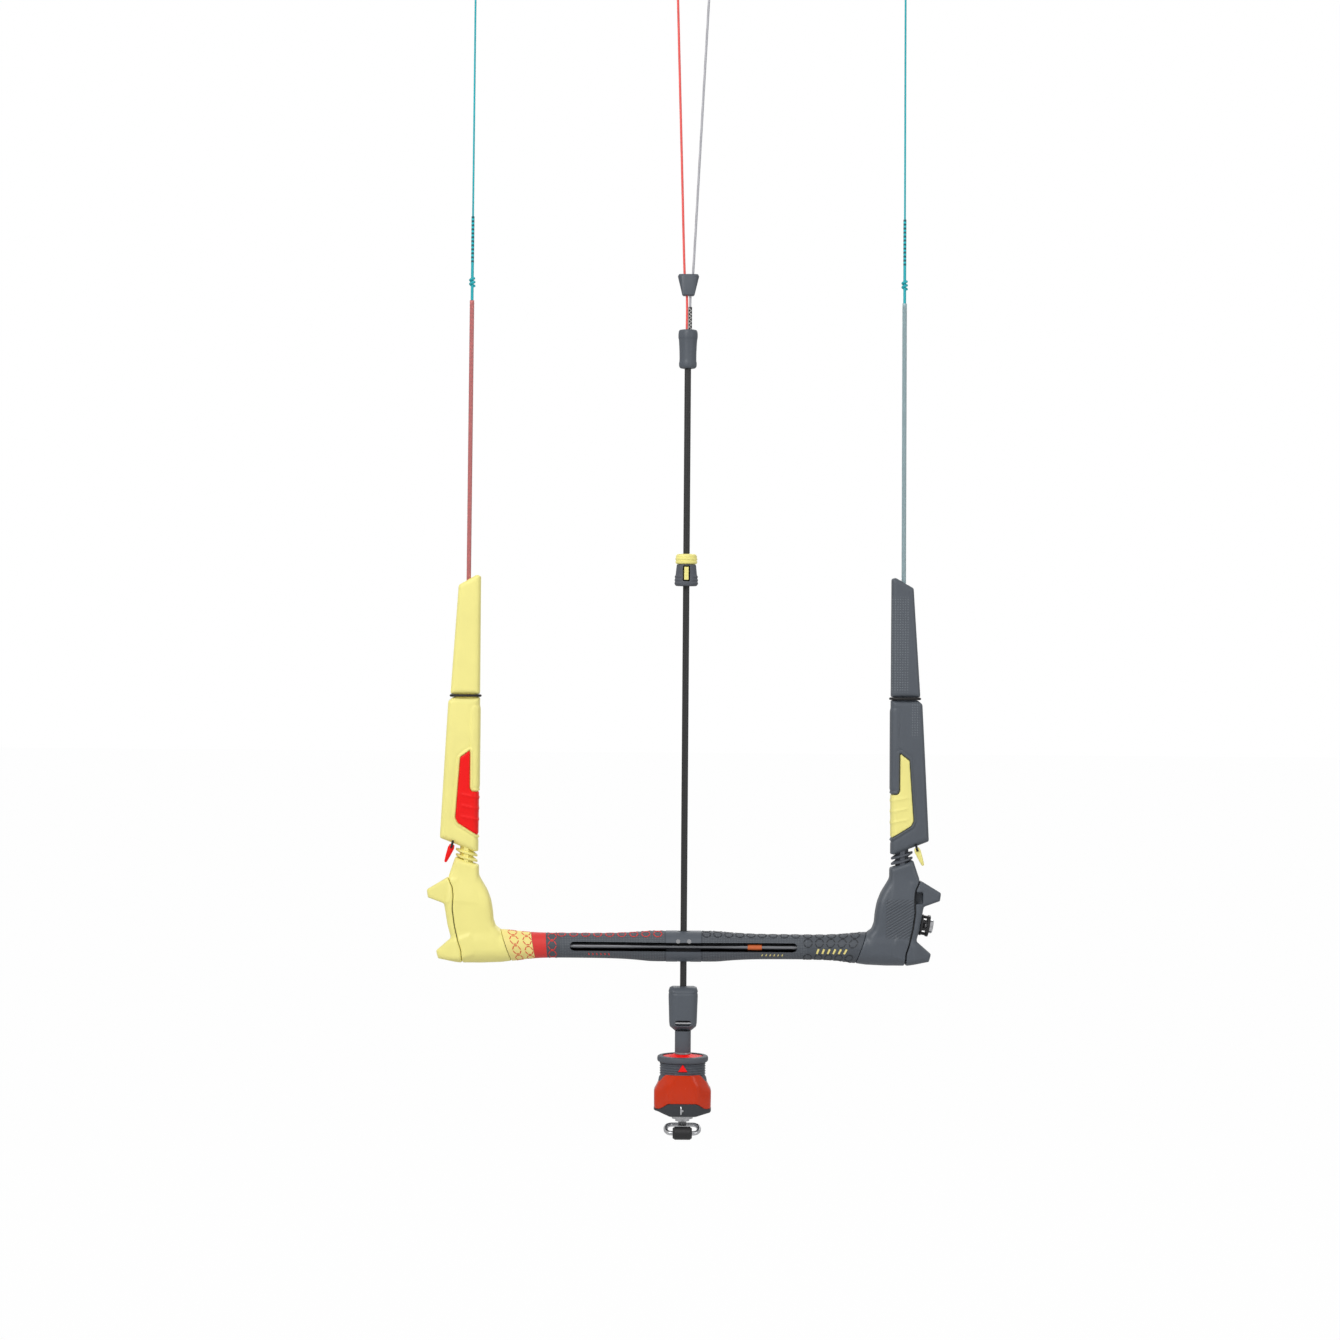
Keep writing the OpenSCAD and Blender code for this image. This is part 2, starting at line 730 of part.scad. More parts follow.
module leader_tube(side) color(side < 0 ? [0.66, 0.38, 0.38] : [0.6, 0.7, 0.71]) at_end(side)
    swept_tube(leader_route, leader_d / 2);

// The steering line, with its knot on the leader, its sewn stretch and its end loop
module flying_line(side) color([0.2, 0.8, 0.84]) at_end(side) {
    last = flying_route[len(flying_route) - 1];
    swept_tube(flying_route, flying_d / 2);
    translate(flying_route[0]) rotate([0, -line_lean, 0]) {
        z_bar(1.5, 0, 84);
        z_bar(3.3, 15, 22);
    }
    end_loop(last, flying_d / 2);
}

// ---------------------------------------------------------------- pull tabs

// A pull tab on its cord, hung from a small crossways pin in the float's underside
module tab(side) color(side < 0 ? red : pale_yellow) at_end(side) {
    knot_at = [15.3, -13.3, 95.5];
    fall = knot_at - tab_pivot;
    translate(tab_pivot) {
        y_bar(tab_pin_r, -2, 2);
        rotate([0, acos(fall[2] / norm(fall)), atan2(fall[1], fall[0])]) z_bar(0.8, 0, norm(fall));
    }
    hull() {
        y_bar(2.6, -14.2, -12.4, knot_at[0], knot_at[2]);
        y_bar(1.25, -14.2, -12.4, 20, 82);
    }
}

// ---------------------------------------------------------------- drawing

swivel_stud();
harness_bow();
roller_pin();
harness_roller();
release_base();
release_core();
release_cap();
release_pins();
collar_spring();
latch(-1);  // latch_left
latch(1);  // latch_right
collar_shell();
collar_grip();
swivel_neck();
swivel_ring();
swivel_housing();
housing_pin();
main_line();
top_sleeve();
line_splitter();
red_front_line();
grey_front_line();
stopper_body();
stopper_cap();
stopper_clamp();
stopper_button();
line_guide();
bar_beam();
left_grip();
right_grip();
centre_front();
centre_rear();
centre_screws();
bar_end(-1);  // left_bar_end
bar_end(1);  // right_bar_end
winder(-1);  // left_winder
winder(1);  // right_winder
neck(-1);  // left_neck
neck(1);  // right_neck
indicator_rod();
left_sheave();
trim_knob();
trim_spool();
trim_button();
trim_marker();
float_body(-1);  // left_float_body
float_sleeve(-1);  // left_float_sleeve
float_accent(-1);  // left_float_accent
float_ring(-1);  // left_float_ring
float_body(1);  // right_float_body
float_sleeve(1);  // right_float_sleeve
float_accent(1);  // right_float_accent
float_ring(1);  // right_float_ring
leader_tube(-1);  // left_leader_tube
flying_line(-1);  // left_flying_line
leader_tube(1);  // right_leader_tube
flying_line(1);  // right_flying_line
tab(-1);  // left_tab
tab(1);  // right_tab
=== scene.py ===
"""Looks for a kitesurf control bar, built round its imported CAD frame.

Sizes are in millimetres until put() or line() turns them into metres. +Z runs up the lines, +X
along the bar to the trim knob, and -Y faces the camera. An end frame has its origin where a
steering line's axis meets the bar's axis. Its u runs outwards and its v upwards, and one set of
numbers serves both sides.
"""

import math

import bpy
import numpy as np
from mathutils import Matrix, Vector


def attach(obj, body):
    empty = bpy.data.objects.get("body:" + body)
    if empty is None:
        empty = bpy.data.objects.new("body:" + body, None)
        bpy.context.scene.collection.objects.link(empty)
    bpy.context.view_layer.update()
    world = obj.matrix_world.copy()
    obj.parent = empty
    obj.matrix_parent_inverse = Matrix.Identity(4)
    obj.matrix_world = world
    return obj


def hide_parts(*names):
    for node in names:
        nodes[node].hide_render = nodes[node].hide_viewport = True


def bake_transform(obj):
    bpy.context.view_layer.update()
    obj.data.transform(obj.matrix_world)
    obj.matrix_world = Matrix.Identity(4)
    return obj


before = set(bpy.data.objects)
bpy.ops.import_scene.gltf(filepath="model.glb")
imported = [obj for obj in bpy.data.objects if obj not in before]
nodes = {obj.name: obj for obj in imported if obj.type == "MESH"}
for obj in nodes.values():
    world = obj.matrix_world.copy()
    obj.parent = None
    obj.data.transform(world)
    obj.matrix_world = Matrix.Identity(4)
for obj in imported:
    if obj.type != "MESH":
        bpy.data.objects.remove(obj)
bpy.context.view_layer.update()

MM = 0.001
LINE_X = 217.5  # half the distance between the steering lines at the bar
BAR_Z = 182.0  # height of the bar's axis
SIDES = {"left": -1, "right": 1}


# ---------------------------------------------------------------- colours and materials


def rgb(r, g, b, share=1.0):
    """A linear colour from 0 to 255 display values, scaled in brightness."""
    def linear(c):
        c /= 255
        return c / 12.92 if c <= 0.04045 else ((c + 0.055) / 1.055) ** 2.4
    return tuple(min(linear(c) * share, 1.0) for c in (r, g, b)) + (1.0,)


YELLOW = (250, 240, 146)
SLATE = (84, 90, 98)
RED = (253, 12, 12)
BLACK = (34, 34, 36)
CYAN = (40, 198, 208)


class Look:
    """A node material under construction: a shader, and helpers that add and join nodes."""

    def __init__(self, name, rough=0.5, metal=0.0, **sockets):
        self.mat = bpy.data.materials.new(name)
        self.mat.use_nodes = True
        self.tree = self.mat.node_tree
        self.shader = self.tree.nodes["Principled BSDF"]
        self.set(self.shader, Roughness=rough, Metallic=metal)
        for socket, value in sockets.items():
            self.shader.inputs[socket.replace("_", " ")].default_value = value
        self.coords = self.tree.nodes.new("ShaderNodeTexCoord").outputs["Object"]

    def set(self, node, **values):
        for socket, value in values.items():
            node.inputs[socket.replace("_", " ")].default_value = value

    def join(self, a, b):
        self.tree.links.new(a, b)

    def noise(self, scale, detail=3.0, stretch=(1, 1, 1)):
        place = self.tree.nodes.new("ShaderNodeMapping")
        place.inputs["Scale"].default_value = stretch
        self.join(self.coords, place.inputs["Vector"])
        node = self.tree.nodes.new("ShaderNodeTexNoise")
        self.set(node, Scale=scale, Detail=detail)
        self.join(place.outputs["Vector"], node.inputs["Vector"])
        return node.outputs["Fac"]

    def math(self, operation, a, b=0.0, c=0.0):
        node = self.tree.nodes.new("ShaderNodeMath")
        node.operation = operation
        for k, value in enumerate((a, b, c)):
            if isinstance(value, (int, float)):
                node.inputs[k].default_value = value
            else:
                self.join(value, node.inputs[k])
        return node.outputs["Value"]

    def axis(self, letter):
        if not hasattr(self, "split"):
            self.split = self.tree.nodes.new("ShaderNodeSeparateXYZ")
            self.join(self.coords, self.split.inputs["Vector"])
        return self.split.outputs[letter]

    def ramp(self, value, low, high):
        """0 below low, 1 above high."""
        node = self.tree.nodes.new("ShaderNodeMapRange")
        self.set(node, From_Min=low, From_Max=high)
        self.join(value, node.inputs["Value"])
        return node.outputs["Result"]

    def within(self, value, low, high, soft):
        """1 between low and high, falling to 0 over soft."""
        inside = self.ramp(value, low - soft, low)
        return self.math("SUBTRACT", inside, self.ramp(value, high, high + soft))

    def mix(self, share, a, b):
        """A colour from a to b; a and b are colours or colour outputs."""
        node = self.tree.nodes.new("ShaderNodeMix")
        node.data_type = "RGBA"
        self.join(share, node.inputs["Factor"])
        for socket, value in ((node.inputs[6], a), (node.inputs[7], b)):
            if isinstance(value, tuple):
                socket.default_value = value
            else:
                self.join(value, socket)
        return node.outputs[2]

    def colour(self, output):
        self.join(output, self.shader.inputs["Base Color"])

    def roughness(self, output, low, high):
        node = self.tree.nodes.new("ShaderNodeMapRange")
        self.set(node, To_Min=low, To_Max=high)
        self.join(output, node.inputs["Value"])
        self.join(node.outputs["Result"], self.shader.inputs["Roughness"])

    def bump(self, height, depth, strength=1.0):
        node = self.tree.nodes.new("ShaderNodeBump")
        self.set(node, Strength=strength, Distance=depth * MM)
        self.join(height, node.inputs["Height"])
        if self.shader.inputs["Normal"].links:
            self.join(self.shader.inputs["Normal"].links[0].from_socket, node.inputs["Normal"])
        self.join(node.outputs["Normal"], self.shader.inputs["Normal"])


def moulded(name, colour, rough=0.5, grain=0.03, **sockets):
    """Moulded plastic or rubber: slightly uneven in colour, with a fine grain."""
    look = Look(name, rough, **sockets)
    look.colour(look.mix(look.noise(38, 4), rgb(*colour, 0.93), rgb(*colour, 1.05)))
    look.roughness(look.noise(220), rough - 0.07, rough + 0.07)
    look.bump(look.noise(1500, 2), grain)
    return look


def metal(name, colour, rough, stretch=(1, 1, 14)):
    """Turned or brushed metal, with fine scratches across the stretch."""
    look = Look(name, rough, 1.0)
    look.colour(look.mix(look.noise(90), rgb(*colour, 0.85), rgb(*colour)))
    look.roughness(look.noise(700, 3, stretch), rough - 0.08, rough + 0.12)
    look.bump(look.noise(900, 2, stretch), 0.006)
    return look


def braid(name, colour, dark, pitch, rough=0.6):
    """A braided line: crossed diagonal strands along Z."""
    look = Look(name, rough)
    turn = look.math("ADD", look.axis("X"), look.axis("Y"))
    up = look.math("MULTIPLY", look.axis("Z"), 2 * math.pi / (pitch * MM))
    lean = look.math("MULTIPLY", turn, 2 * math.pi / (pitch * MM))
    one = look.math("SINE", look.math("ADD", up, lean))
    other = look.math("SINE", look.math("SUBTRACT", up, lean))
    strands = look.ramp(look.math("MULTIPLY", one, other), -0.8, 0.8)
    look.colour(look.mix(strands, rgb(*dark), rgb(*colour)))
    look.bump(strands, 0.05)
    return look


def sewn(name, colour, dark, pitch, turn_axis="X"):
    """A line with checks of a darker thread sewn through it."""
    look = Look(name, 0.65)
    up = look.math("SINE", look.math("MULTIPLY", look.axis("Z"), 2 * math.pi / (pitch * MM)))
    checks = look.ramp(up, -0.25, 0.25)
    fibre = look.mix(look.noise(900), rgb(*colour, 0.9), rgb(*colour))
    look.colour(look.mix(checks, fibre, rgb(*dark)))
    look.bump(checks, 0.2)
    return look


def hatched(look, colour, x_range, z_range, slope, pitch):
    """Adds a patch of fine slanted grooves, seen on the front between these places. The grooves are bumped
    in, and the darker copy of the colour laid in them is painted shade.
    """
    across = look.math("ADD", look.axis("Z"), look.math("MULTIPLY", look.axis("X"), slope))
    wave = look.math("SINE", look.math("MULTIPLY", across, 2 * math.pi / (pitch * MM)))
    zone = look.math("MULTIPLY", look.within(look.axis("X"), x_range[0] * MM, x_range[1] * MM, 0.002),
                     look.within(look.axis("Z"), z_range[0] * MM, z_range[1] * MM, 0.002))
    marks = look.math("MULTIPLY", look.ramp(wave, -0.2, 0.6), zone)
    old = look.shader.inputs["Base Color"].links[0].from_socket
    # painted shade: the grooves take the same colour at 0.4 brightness
    look.colour(look.mix(look.math("MULTIPLY", marks, 0.6), old, rgb(*colour, 0.4)))
    look.bump(marks, -0.15)
    return look


def dotted(look, z_range, pitch, x_range=None):
    """Adds a diamond lattice of small dimples."""
    k = 2 * math.pi / (pitch * MM)
    across, up = look.axis("X"), look.axis("Z")
    one = look.math("SINE", look.math("MULTIPLY", look.math("ADD", across, up), k))
    other = look.math("SINE", look.math("MULTIPLY", look.math("SUBTRACT", across, up), k))
    dots = look.ramp(look.math("MULTIPLY", one, other), 0.25, 0.7)
    zone = look.within(look.axis("Z"), z_range[0] * MM, z_range[1] * MM, 0.004)
    if x_range:
        zone = look.math("MULTIPLY", zone, look.within(
            look.math("ABSOLUTE", look.axis("X")), x_range[0] * MM, x_range[1] * MM, 0.001))
    dots = look.math("MULTIPLY", dots, zone)
    old = look.shader.inputs["Base Color"].links[0].from_socket
    look.colour(look.mix(look.math("MULTIPLY", dots, 0.45), old, rgb(138, 144, 150)))
    look.bump(dots, -0.18)
    return look


M = {
    "yellow": moulded("yellow_moulding", YELLOW, 0.48, 0.01),
    "slate": moulded("slate_moulding", SLATE, 0.46),
    "slate_end": hatched(moulded("slate_end_moulding", SLATE, 0.44), SLATE,
                         x_range=(202, 231), z_range=(193, 230), slope=-0.6, pitch=3.0),
    "yellow_float": moulded("yellow_float_skin", YELLOW, 0.55, 0.1),
    "slate_float": dotted(moulded("slate_float_skin", SLATE, 0.52, 0.1), (440, 530), 5.0, (206, 222)),
    "slate_lower": dotted(moulded("slate_float_lower_skin", SLATE, 0.52, 0.1), (396, 426), 5.0, (225, 233)),
    "slate_rubber": moulded("slate_rubber", (84, 88, 96), 0.58, 0.05),
    "grip": dotted(moulded("slate_grip", (76, 81, 88), 0.6, 0.08), (170, 193), 3.2, (20, 122)),
    "yellow_grip": moulded("yellow_grip", (246, 230, 142), 0.6, 0.12),
    "red": moulded("red_moulding", RED, 0.45, Specular_IOR_Level=0.3),
    "red_print": moulded("red_print", (222, 52, 48), 0.55, 0.04),
    "dark_print": moulded("dark_print", (40, 43, 48), 0.5, 0.04),
    # painted shade: a dark olive standing for the shadow inside the yellow end's cap seam
    "dark_joint": moulded("dark_joint", (78, 76, 30), 0.7),
    "black": moulded("black_moulding", BLACK, 0.42),
    "black_rubber": moulded("black_rubber", (18, 18, 20), 0.6),
    "shell": moulded("orange_red_gloss", (206, 50, 0), 0.24, 0.0, Specular_IOR_Level=0.3, Coat_Weight=0.2),
    "base": moulded("dark_base", (52, 55, 60), 0.42),
    "orange": moulded("orange_marker", (214, 108, 58), 0.4),
    "steel": metal("bright_steel", (214, 215, 218), 0.24),
    "rod": metal("grey_rod", (150, 152, 156), 0.35, (14, 1, 1)),
    "beam": metal("anodised_tube", (62, 64, 68), 0.4, (1, 14, 14)),
    "main_line": braid("coated_main_line", (46, 46, 46), (30, 30, 31), 5.0, 0.45),
    "red_line": braid("red_braid", (255, 110, 104), (228, 72, 66), 2.6),
    "grey_line": braid("grey_braid", (205, 205, 210), (150, 150, 156), 2.6),
    "cyan_line": braid("cyan_braid", CYAN, (20, 150, 160), 2.2),
    "cyan_sewn": sewn("cyan_sewn", CYAN, (14, 92, 102), 4.0),
    "left_tube": moulded("rosy_tube", (245, 150, 148), 0.22, 0.0, Transmission_Weight=0.5, IOR=1.45),
    "right_tube": moulded("pale_tube", (196, 222, 228), 0.22, 0.0, Transmission_Weight=0.5, IOR=1.45),
    "left_core": sewn("rosy_core", (196, 140, 134), (112, 70, 70), 4.0),
    "right_core": sewn("pale_core", (128, 148, 152), (70, 84, 86), 4.0),
    "stitches": moulded("white_thread", (232, 232, 228), 0.7),
    "floor": moulded("pale_floor", (205, 205, 205), 0.9),
}


# ---------------------------------------------------------------- building pieces


def put(name, points, faces, mat, body, slot, stands_for=(), side=None, sharp=32, bevel=0.0):
    """One mesh piece from points in millimetres. With a side, the points are in that end frame."""
    points = np.array(points, float)
    if side:
        points = np.column_stack([side * (LINE_X + points[:, 0]), points[:, 1], BAR_Z + points[:, 2]])
    mesh = bpy.data.meshes.new(name)
    mesh.from_pydata((points * MM).tolist(), [], [f[::side or 1] for f in faces])
    mesh.validate()
    mesh.materials.append(M[mat].mat)
    mesh.polygons.foreach_set("use_smooth", [True] * len(mesh.polygons))
    mesh.set_sharp_from_angle(angle=math.radians(sharp))
    piece = bpy.data.objects.new(name, mesh)
    bpy.context.scene.collection.objects.link(piece)
    if bevel:
        edge = piece.modifiers.new("edge", "BEVEL")
        edge.width = bevel * MM
        edge.segments = 2
        edge.limit_method = "ANGLE"
        edge.angle_limit = math.radians(40)
        edge.harden_normals = True
    if body:
        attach(piece, body)
    if stands_for:
        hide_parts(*stands_for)
    return piece


def line(name, route, d, mat, body, stands_for=()):
    """A round line along points in millimetres, as one smooth open curve."""
    curve = bpy.data.curves.new(name, "CURVE")
    curve.dimensions = "3D"
    curve.bevel_depth = d / 2 * MM
    curve.bevel_resolution = 3
    curve.use_fill_caps = True
    spline = curve.splines.new("POLY")
    spline.points.add(len(route) - 1)
    for point, p in zip(spline.points, route):
        point.co = (p[0] * MM, p[1] * MM, p[2] * MM, 1)
    curve.materials.append(M[mat].mat)
    piece = bpy.data.objects.new(name, curve)
    bpy.context.scene.collection.objects.link(piece)
    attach(piece, body)
    if stands_for:
        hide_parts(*stands_for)
    return piece


def loft(rings, open_ends=False):
    """Points and faces of a stack of equal rings, each listed anticlockwise seen from ahead."""
    n = len(rings[0])
    points = [p for ring in rings for p in ring]
    faces = [(i * n + k, i * n + (k + 1) % n, (i + 1) * n + (k + 1) % n, (i + 1) * n + k)
             for i in range(len(rings) - 1) for k in range(n)]
    if not open_ends:
        faces += [tuple(range(n))[::-1], tuple(range(len(points) - n, len(points)))]
    return points, faces


def turned(profile, count=48, shape=None, centre=(0, 0)):
    """A turned body from (radius, height) pairs. shape(angle, height) scales the radius."""
    rings = []
    for r, z in profile:
        ring = []
        for k in range(count):
            a = 2 * math.pi * k / count
            q = max(r, 0.05) * (shape(a, z) if shape else 1)
            ring.append((centre[0] + q * math.cos(a), centre[1] + q * math.sin(a), z))
        rings.append(ring)
    return loft(rings)


def eased(points, steps=6):
    """A smooth run through a list of points, as many-times-finer points."""
    p = [np.array(q, float) for q in points]
    p = [2 * p[0] - p[1]] + p + [2 * p[-1] - p[-2]]
    made = []
    for a, b, c, d in zip(p, p[1:], p[2:], p[3:]):
        for i in range(steps):
            t = i / steps
            made.append(0.5 * (2 * b + (c - a) * t + (2 * a - 5 * b + 4 * c - d) * t * t
                               + (3 * b - a - 3 * c + d) * t ** 3))
    return made + [p[-2]]


def polygon_ring(planes, softness, height, count=64, centre=(0, 0)):
    """A ring of a polygon with soft corners. planes are (direction in degrees, distance)."""
    ring = []
    for k in range(count):
        a = 2 * math.pi * (k + 0.5) / count
        total = sum(max(math.cos(a - math.radians(d)), 0) ** softness / r ** softness for d, r in planes)
        r = total ** (-1 / softness)
        ring.append((centre[0] + r * math.cos(a), centre[1] + r * math.sin(a), height))
    return ring


# ---------------------------------------------------------------- shapes from fields


def outline_distance(x, z, outline):
    """Distance from each (x, z) to a closed outline, negative inside it."""
    best = np.full(x.shape, 1e9)
    inside = np.zeros(x.shape, bool)
    for (ax, az), (bx, bz) in zip(outline, outline[1:] + outline[:1]):
        ex, ez = bx - ax, bz - az
        t = np.clip(((x - ax) * ex + (z - az) * ez) / (ex * ex + ez * ez), 0, 1)
        best = np.minimum(best, np.hypot(x - ax - t * ex, z - az - t * ez))
        crosses = (az > z) != (bz > z)
        inside ^= crosses & (x < ax + (z - az) * ex / (ez if ez else 1e-9))
    return np.where(inside, -best, best)


def pillow(d, y, half, r):
    """Field of a front outline given thickness, with its edges rounded to radius r."""
    a = d + r
    b = np.abs(y) - half + r
    return np.minimum(np.maximum(a, b), 0) + np.hypot(np.maximum(a, 0), np.maximum(b, 0)) - r


def soft_union(a, b, k):
    h = np.clip(0.5 + 0.5 * (b - a) / k, 0, 1)
    return b + (a - b) * h - k * h * (1 - h)


def soft_cut(a, b, k):
    return -soft_union(-a, -b, k)


def step_up(value, low, high):
    t = np.clip((value - low) / (high - low), 0, 1)
    return t * t * (3 - 2 * t)


def skin(field, low, high, step, relax=3):
    """Points and faces of the surface where field(x, y, z) is zero, on a grid of that step."""
    axes = [np.arange(a - 2 * step, b + 2.5 * step, step) for a, b in zip(low, high)]
    f = field(*np.meshgrid(*axes, indexing="ij"))
    n = np.array(f.shape) - 1
    corners = [(i, j, k) for i in (0, 1) for j in (0, 1) for k in (0, 1)]
    at = {c: f[c[0]:c[0] + n[0], c[1]:c[1] + n[1], c[2]:c[2] + n[2]] for c in corners}
    total, hits = np.zeros((*n, 3)), np.zeros(tuple(n))
    for c in corners:
        for axis in range(3):
            if c[axis]:
                continue
            far = tuple(v + (k == axis) for k, v in enumerate(c))
            cross = (at[c] < 0) != (at[far] < 0)
            share = np.where(cross, at[c] / np.where(cross, at[c] - at[far], 1), 0)
            for k in range(3):
                total[..., k] += cross * (c[k] + (share if k == axis else 0))
            hits += cross
    mixed = hits > 0
    index = np.full(tuple(n), -1)
    index[mixed] = np.arange(mixed.sum())
    cells = np.argwhere(mixed)
    points = (cells + total[mixed] / hits[mixed][:, None]) * step + [a[0] for a in axes]
    quads = []
    for a in range(3):
        b, c = (a + 1) % 3, (a + 2) % 3
        low_side = np.take(f, range(0, n[a]), a) < 0
        high_side = np.take(f, range(1, n[a] + 1), a) < 0
        spots = np.argwhere(low_side != high_side)
        for p in spots:
            if p[b] < 1 or p[c] < 1 or p[b] >= n[b] or p[c] >= n[c]:
                continue
            q = [p.copy() for _ in range(4)]
            q[0][b] -= 1
            q[0][c] -= 1
            q[1][c] -= 1
            q[3][b] -= 1
            quad = [int(index[tuple(v)]) for v in q]
            quads.append(tuple(quad if low_side[tuple(p)] else quad[::-1]))
    edges = np.unique(np.sort(np.vstack([np.array(quads)[:, [i, (i + 1) % 4]] for i in range(4)])), axis=0)
    edges = edges[edges[:, 0] != edges[:, 1]]
    for _ in range(relax):
        mean, count = np.zeros_like(points), np.zeros(len(points))
        for i, j in ((0, 1), (1, 0)):
            np.add.at(mean, edges[:, i], points[edges[:, j]])
            np.add.at(count, edges[:, i], 1)
        points = points + 0.5 * (mean / count[:, None] - points)
    return points, quads


# ---------------------------------------------------------------- winder ends


CAP_SEAM = [[18, 68], [13.4, 58], [12.4, 50], [13.0, 36], [10.8, 20], [7.6, 6], [4, -5], [3.2, -18]]
UPRIGHT = [[-34, -10], [-34, 13], [-29, 19.5], [-27, 25], [-26.2, 34], [-24, 47], [-21, 54.5],
           [-14.5, 65.5], [-11.7, 71], [-11.4, 76.2], [11.2, 85], [18, 67], [20, 52], [21.5, 41],
           [18, 20], [14, 6], [10, -10]]
BAR_TUBE = [[-60, -15.4], [-46, -15.6], [-36, -17], [-15, -17.8], [5, -17.4], [27.5, -13.6], [29.5, -6],
            [15.5, 6], [4, 14], [-12, 18], [-29.5, 18.4], [-35, 15.9], [-60, 15.2]]
LOWER_FACET = [[29.5, -6], [27.5, -13.6], [5, -15], [-10, -10], [-12, 3], [-6, 14.5], [15.5, 6]]
UPPER_FACET = [[-16, 38], [6, 40.5], [21.5, 41], [20, 52], [18, 67], [11, 88], [-12, 80], [-12, 60]]
HORN = [[6, 38], [20, 41], [38.5, 47], [39.5, 55], [19.5, 67], [8, 67]]
GRIP_SEAM = [[-35, 15.5], [-46, -15.3]]
SEAM_GAP = {-1: 0.3, 1: 0.55}  # half the width of the gap at the cap's seam
KNOB = (18.3, 23.5)
KNOB_LEAN = math.radians(9.7)


def end_field(u, y, v):
    """The whole winder end before it is parted: an upright, a tube round the bar, and two horns."""
    flat_u, flat_v = u[:, :1, :], v[:, :1, :]
    post = 15.5 - 4.5 * step_up(flat_v, 38, 78)
    upright = pillow(outline_distance(flat_u, flat_v, UPRIGHT), y, post, 6.5)
    tip = step_up(flat_u, 8, 30)
    tube_half = 15.8 + 1.2 * step_up(flat_u, -38, -10) - 9 * tip
    tube = pillow(outline_distance(flat_u, flat_v, BAR_TUBE), y, tube_half,
                  15.3 - 10 * step_up(flat_u, -14, 24))
    lower = pillow(outline_distance(flat_u, flat_v, LOWER_FACET), y, 17.3 - 9.5 * tip, 4.5)
    upper = pillow(outline_distance(flat_u, flat_v, UPPER_FACET), y, post + 0.5, 4.5)
    taper = np.clip((flat_u - 14) / 26, 0, 1)
    horn = pillow(outline_distance(flat_u, flat_v, HORN), y, 13.5 - 9 * taper, 2.6)
    body = soft_union(soft_union(upright, tube, 3.0), horn, 1.6)
    return soft_union(soft_union(body, lower, 0.9), upper, 0.9)


def cap_side(u, v):
    """Distance to the seam of the winder cap, negative on the cap's side."""
    return outline_distance(u[:, :1, :], v[:, :1, :], CAP_SEAM + [[90, -60], [90, 120]])


def grip_side(u, v):
    """Distance past the slanted seam between the end and the grip, positive towards the grip."""
    (au, av), (bu, bv) = GRIP_SEAM
    run = math.hypot(au - bu, av - bv)
    return -((u - bu) * (av - bv) - (v - bv) * (au - bu)) / run


def bar_end(name, side):
    def field(u, y, v):
        whole = end_field(u, y, v)
        socket = np.minimum(7.0 - np.hypot(u, y), v - 74)
        parted = soft_cut(whole, SEAM_GAP[side] - cap_side(u, v), 1.0)
        return soft_cut(np.maximum(parted, socket), grip_side(u, v) + 0.15, 0.8)
    points, faces = skin(field, (-47, -17, -17), (20, 17, 87), 0.9)
    return put(f"{name}_end_moulding", points, faces, "yellow" if side < 0 else "slate_end", "bar",
               "yellow_plastic" if side < 0 else "slate_plastic", [f"{name}_bar_end"], side)


def winder_cap(name, side):
    def field(u, y, v):
        cap = soft_cut(end_field(u, y, v), cap_side(u, v) + SEAM_GAP[side], 1.0)
        if side > 0:
            recess = np.maximum(np.maximum(np.abs(u - 16.5) - 4.2, np.abs(v - 50.5) - 5.6), y + 4)
            cap = soft_cut(cap, -recess, 0.8)
            along = (u - KNOB[0]) * math.cos(KNOB_LEAN) - (v - KNOB[1]) * math.sin(KNOB_LEAN)
            across = (u - KNOB[0]) * math.sin(KNOB_LEAN) + (v - KNOB[1]) * math.cos(KNOB_LEAN)
            cap = np.maximum(cap, np.minimum(3.9 - np.hypot(across, y), 30 - np.abs(along)))
            cap = np.maximum(cap, np.minimum(11.2 - np.hypot(across, y), along + 0.2))
        return cap
    points, faces = skin(field, (3, -17, -17), (41, 17, 70), 0.9)
    return put(f"{name}_winder_cap", points, faces, "yellow" if side < 0 else "slate", "bar",
               "yellow_plastic" if side < 0 else "slate_plastic", [f"{name}_winder"], side)


def seam_filler(name, side):
    """Painted shade: a dark strip fills the gap between the end and its cap, olive beside the yellow end
    and black beside the slate end, standing in for the shadow inside the seam.
    """
    run = eased([[u, v] for u, v in CAP_SEAM], 4)
    reach = [min(14.6, 9.6 + 0.18 * max(68 - v, 0)) for _, v in run]
    rings = [[(u - 0.5, -h, v), (u + 0.5, -h, v), (u + 0.5, h, v), (u - 0.5, h, v)]
             for (u, v), h in zip(run[2:-2], reach[2:-2])]
    return put(f"{name}_cap_gap_shade", *loft(rings[::-1]), "dark_joint" if side < 0 else "black_rubber",
               "bar", "black_rubber", side=side)


# ---------------------------------------------------------------- necks


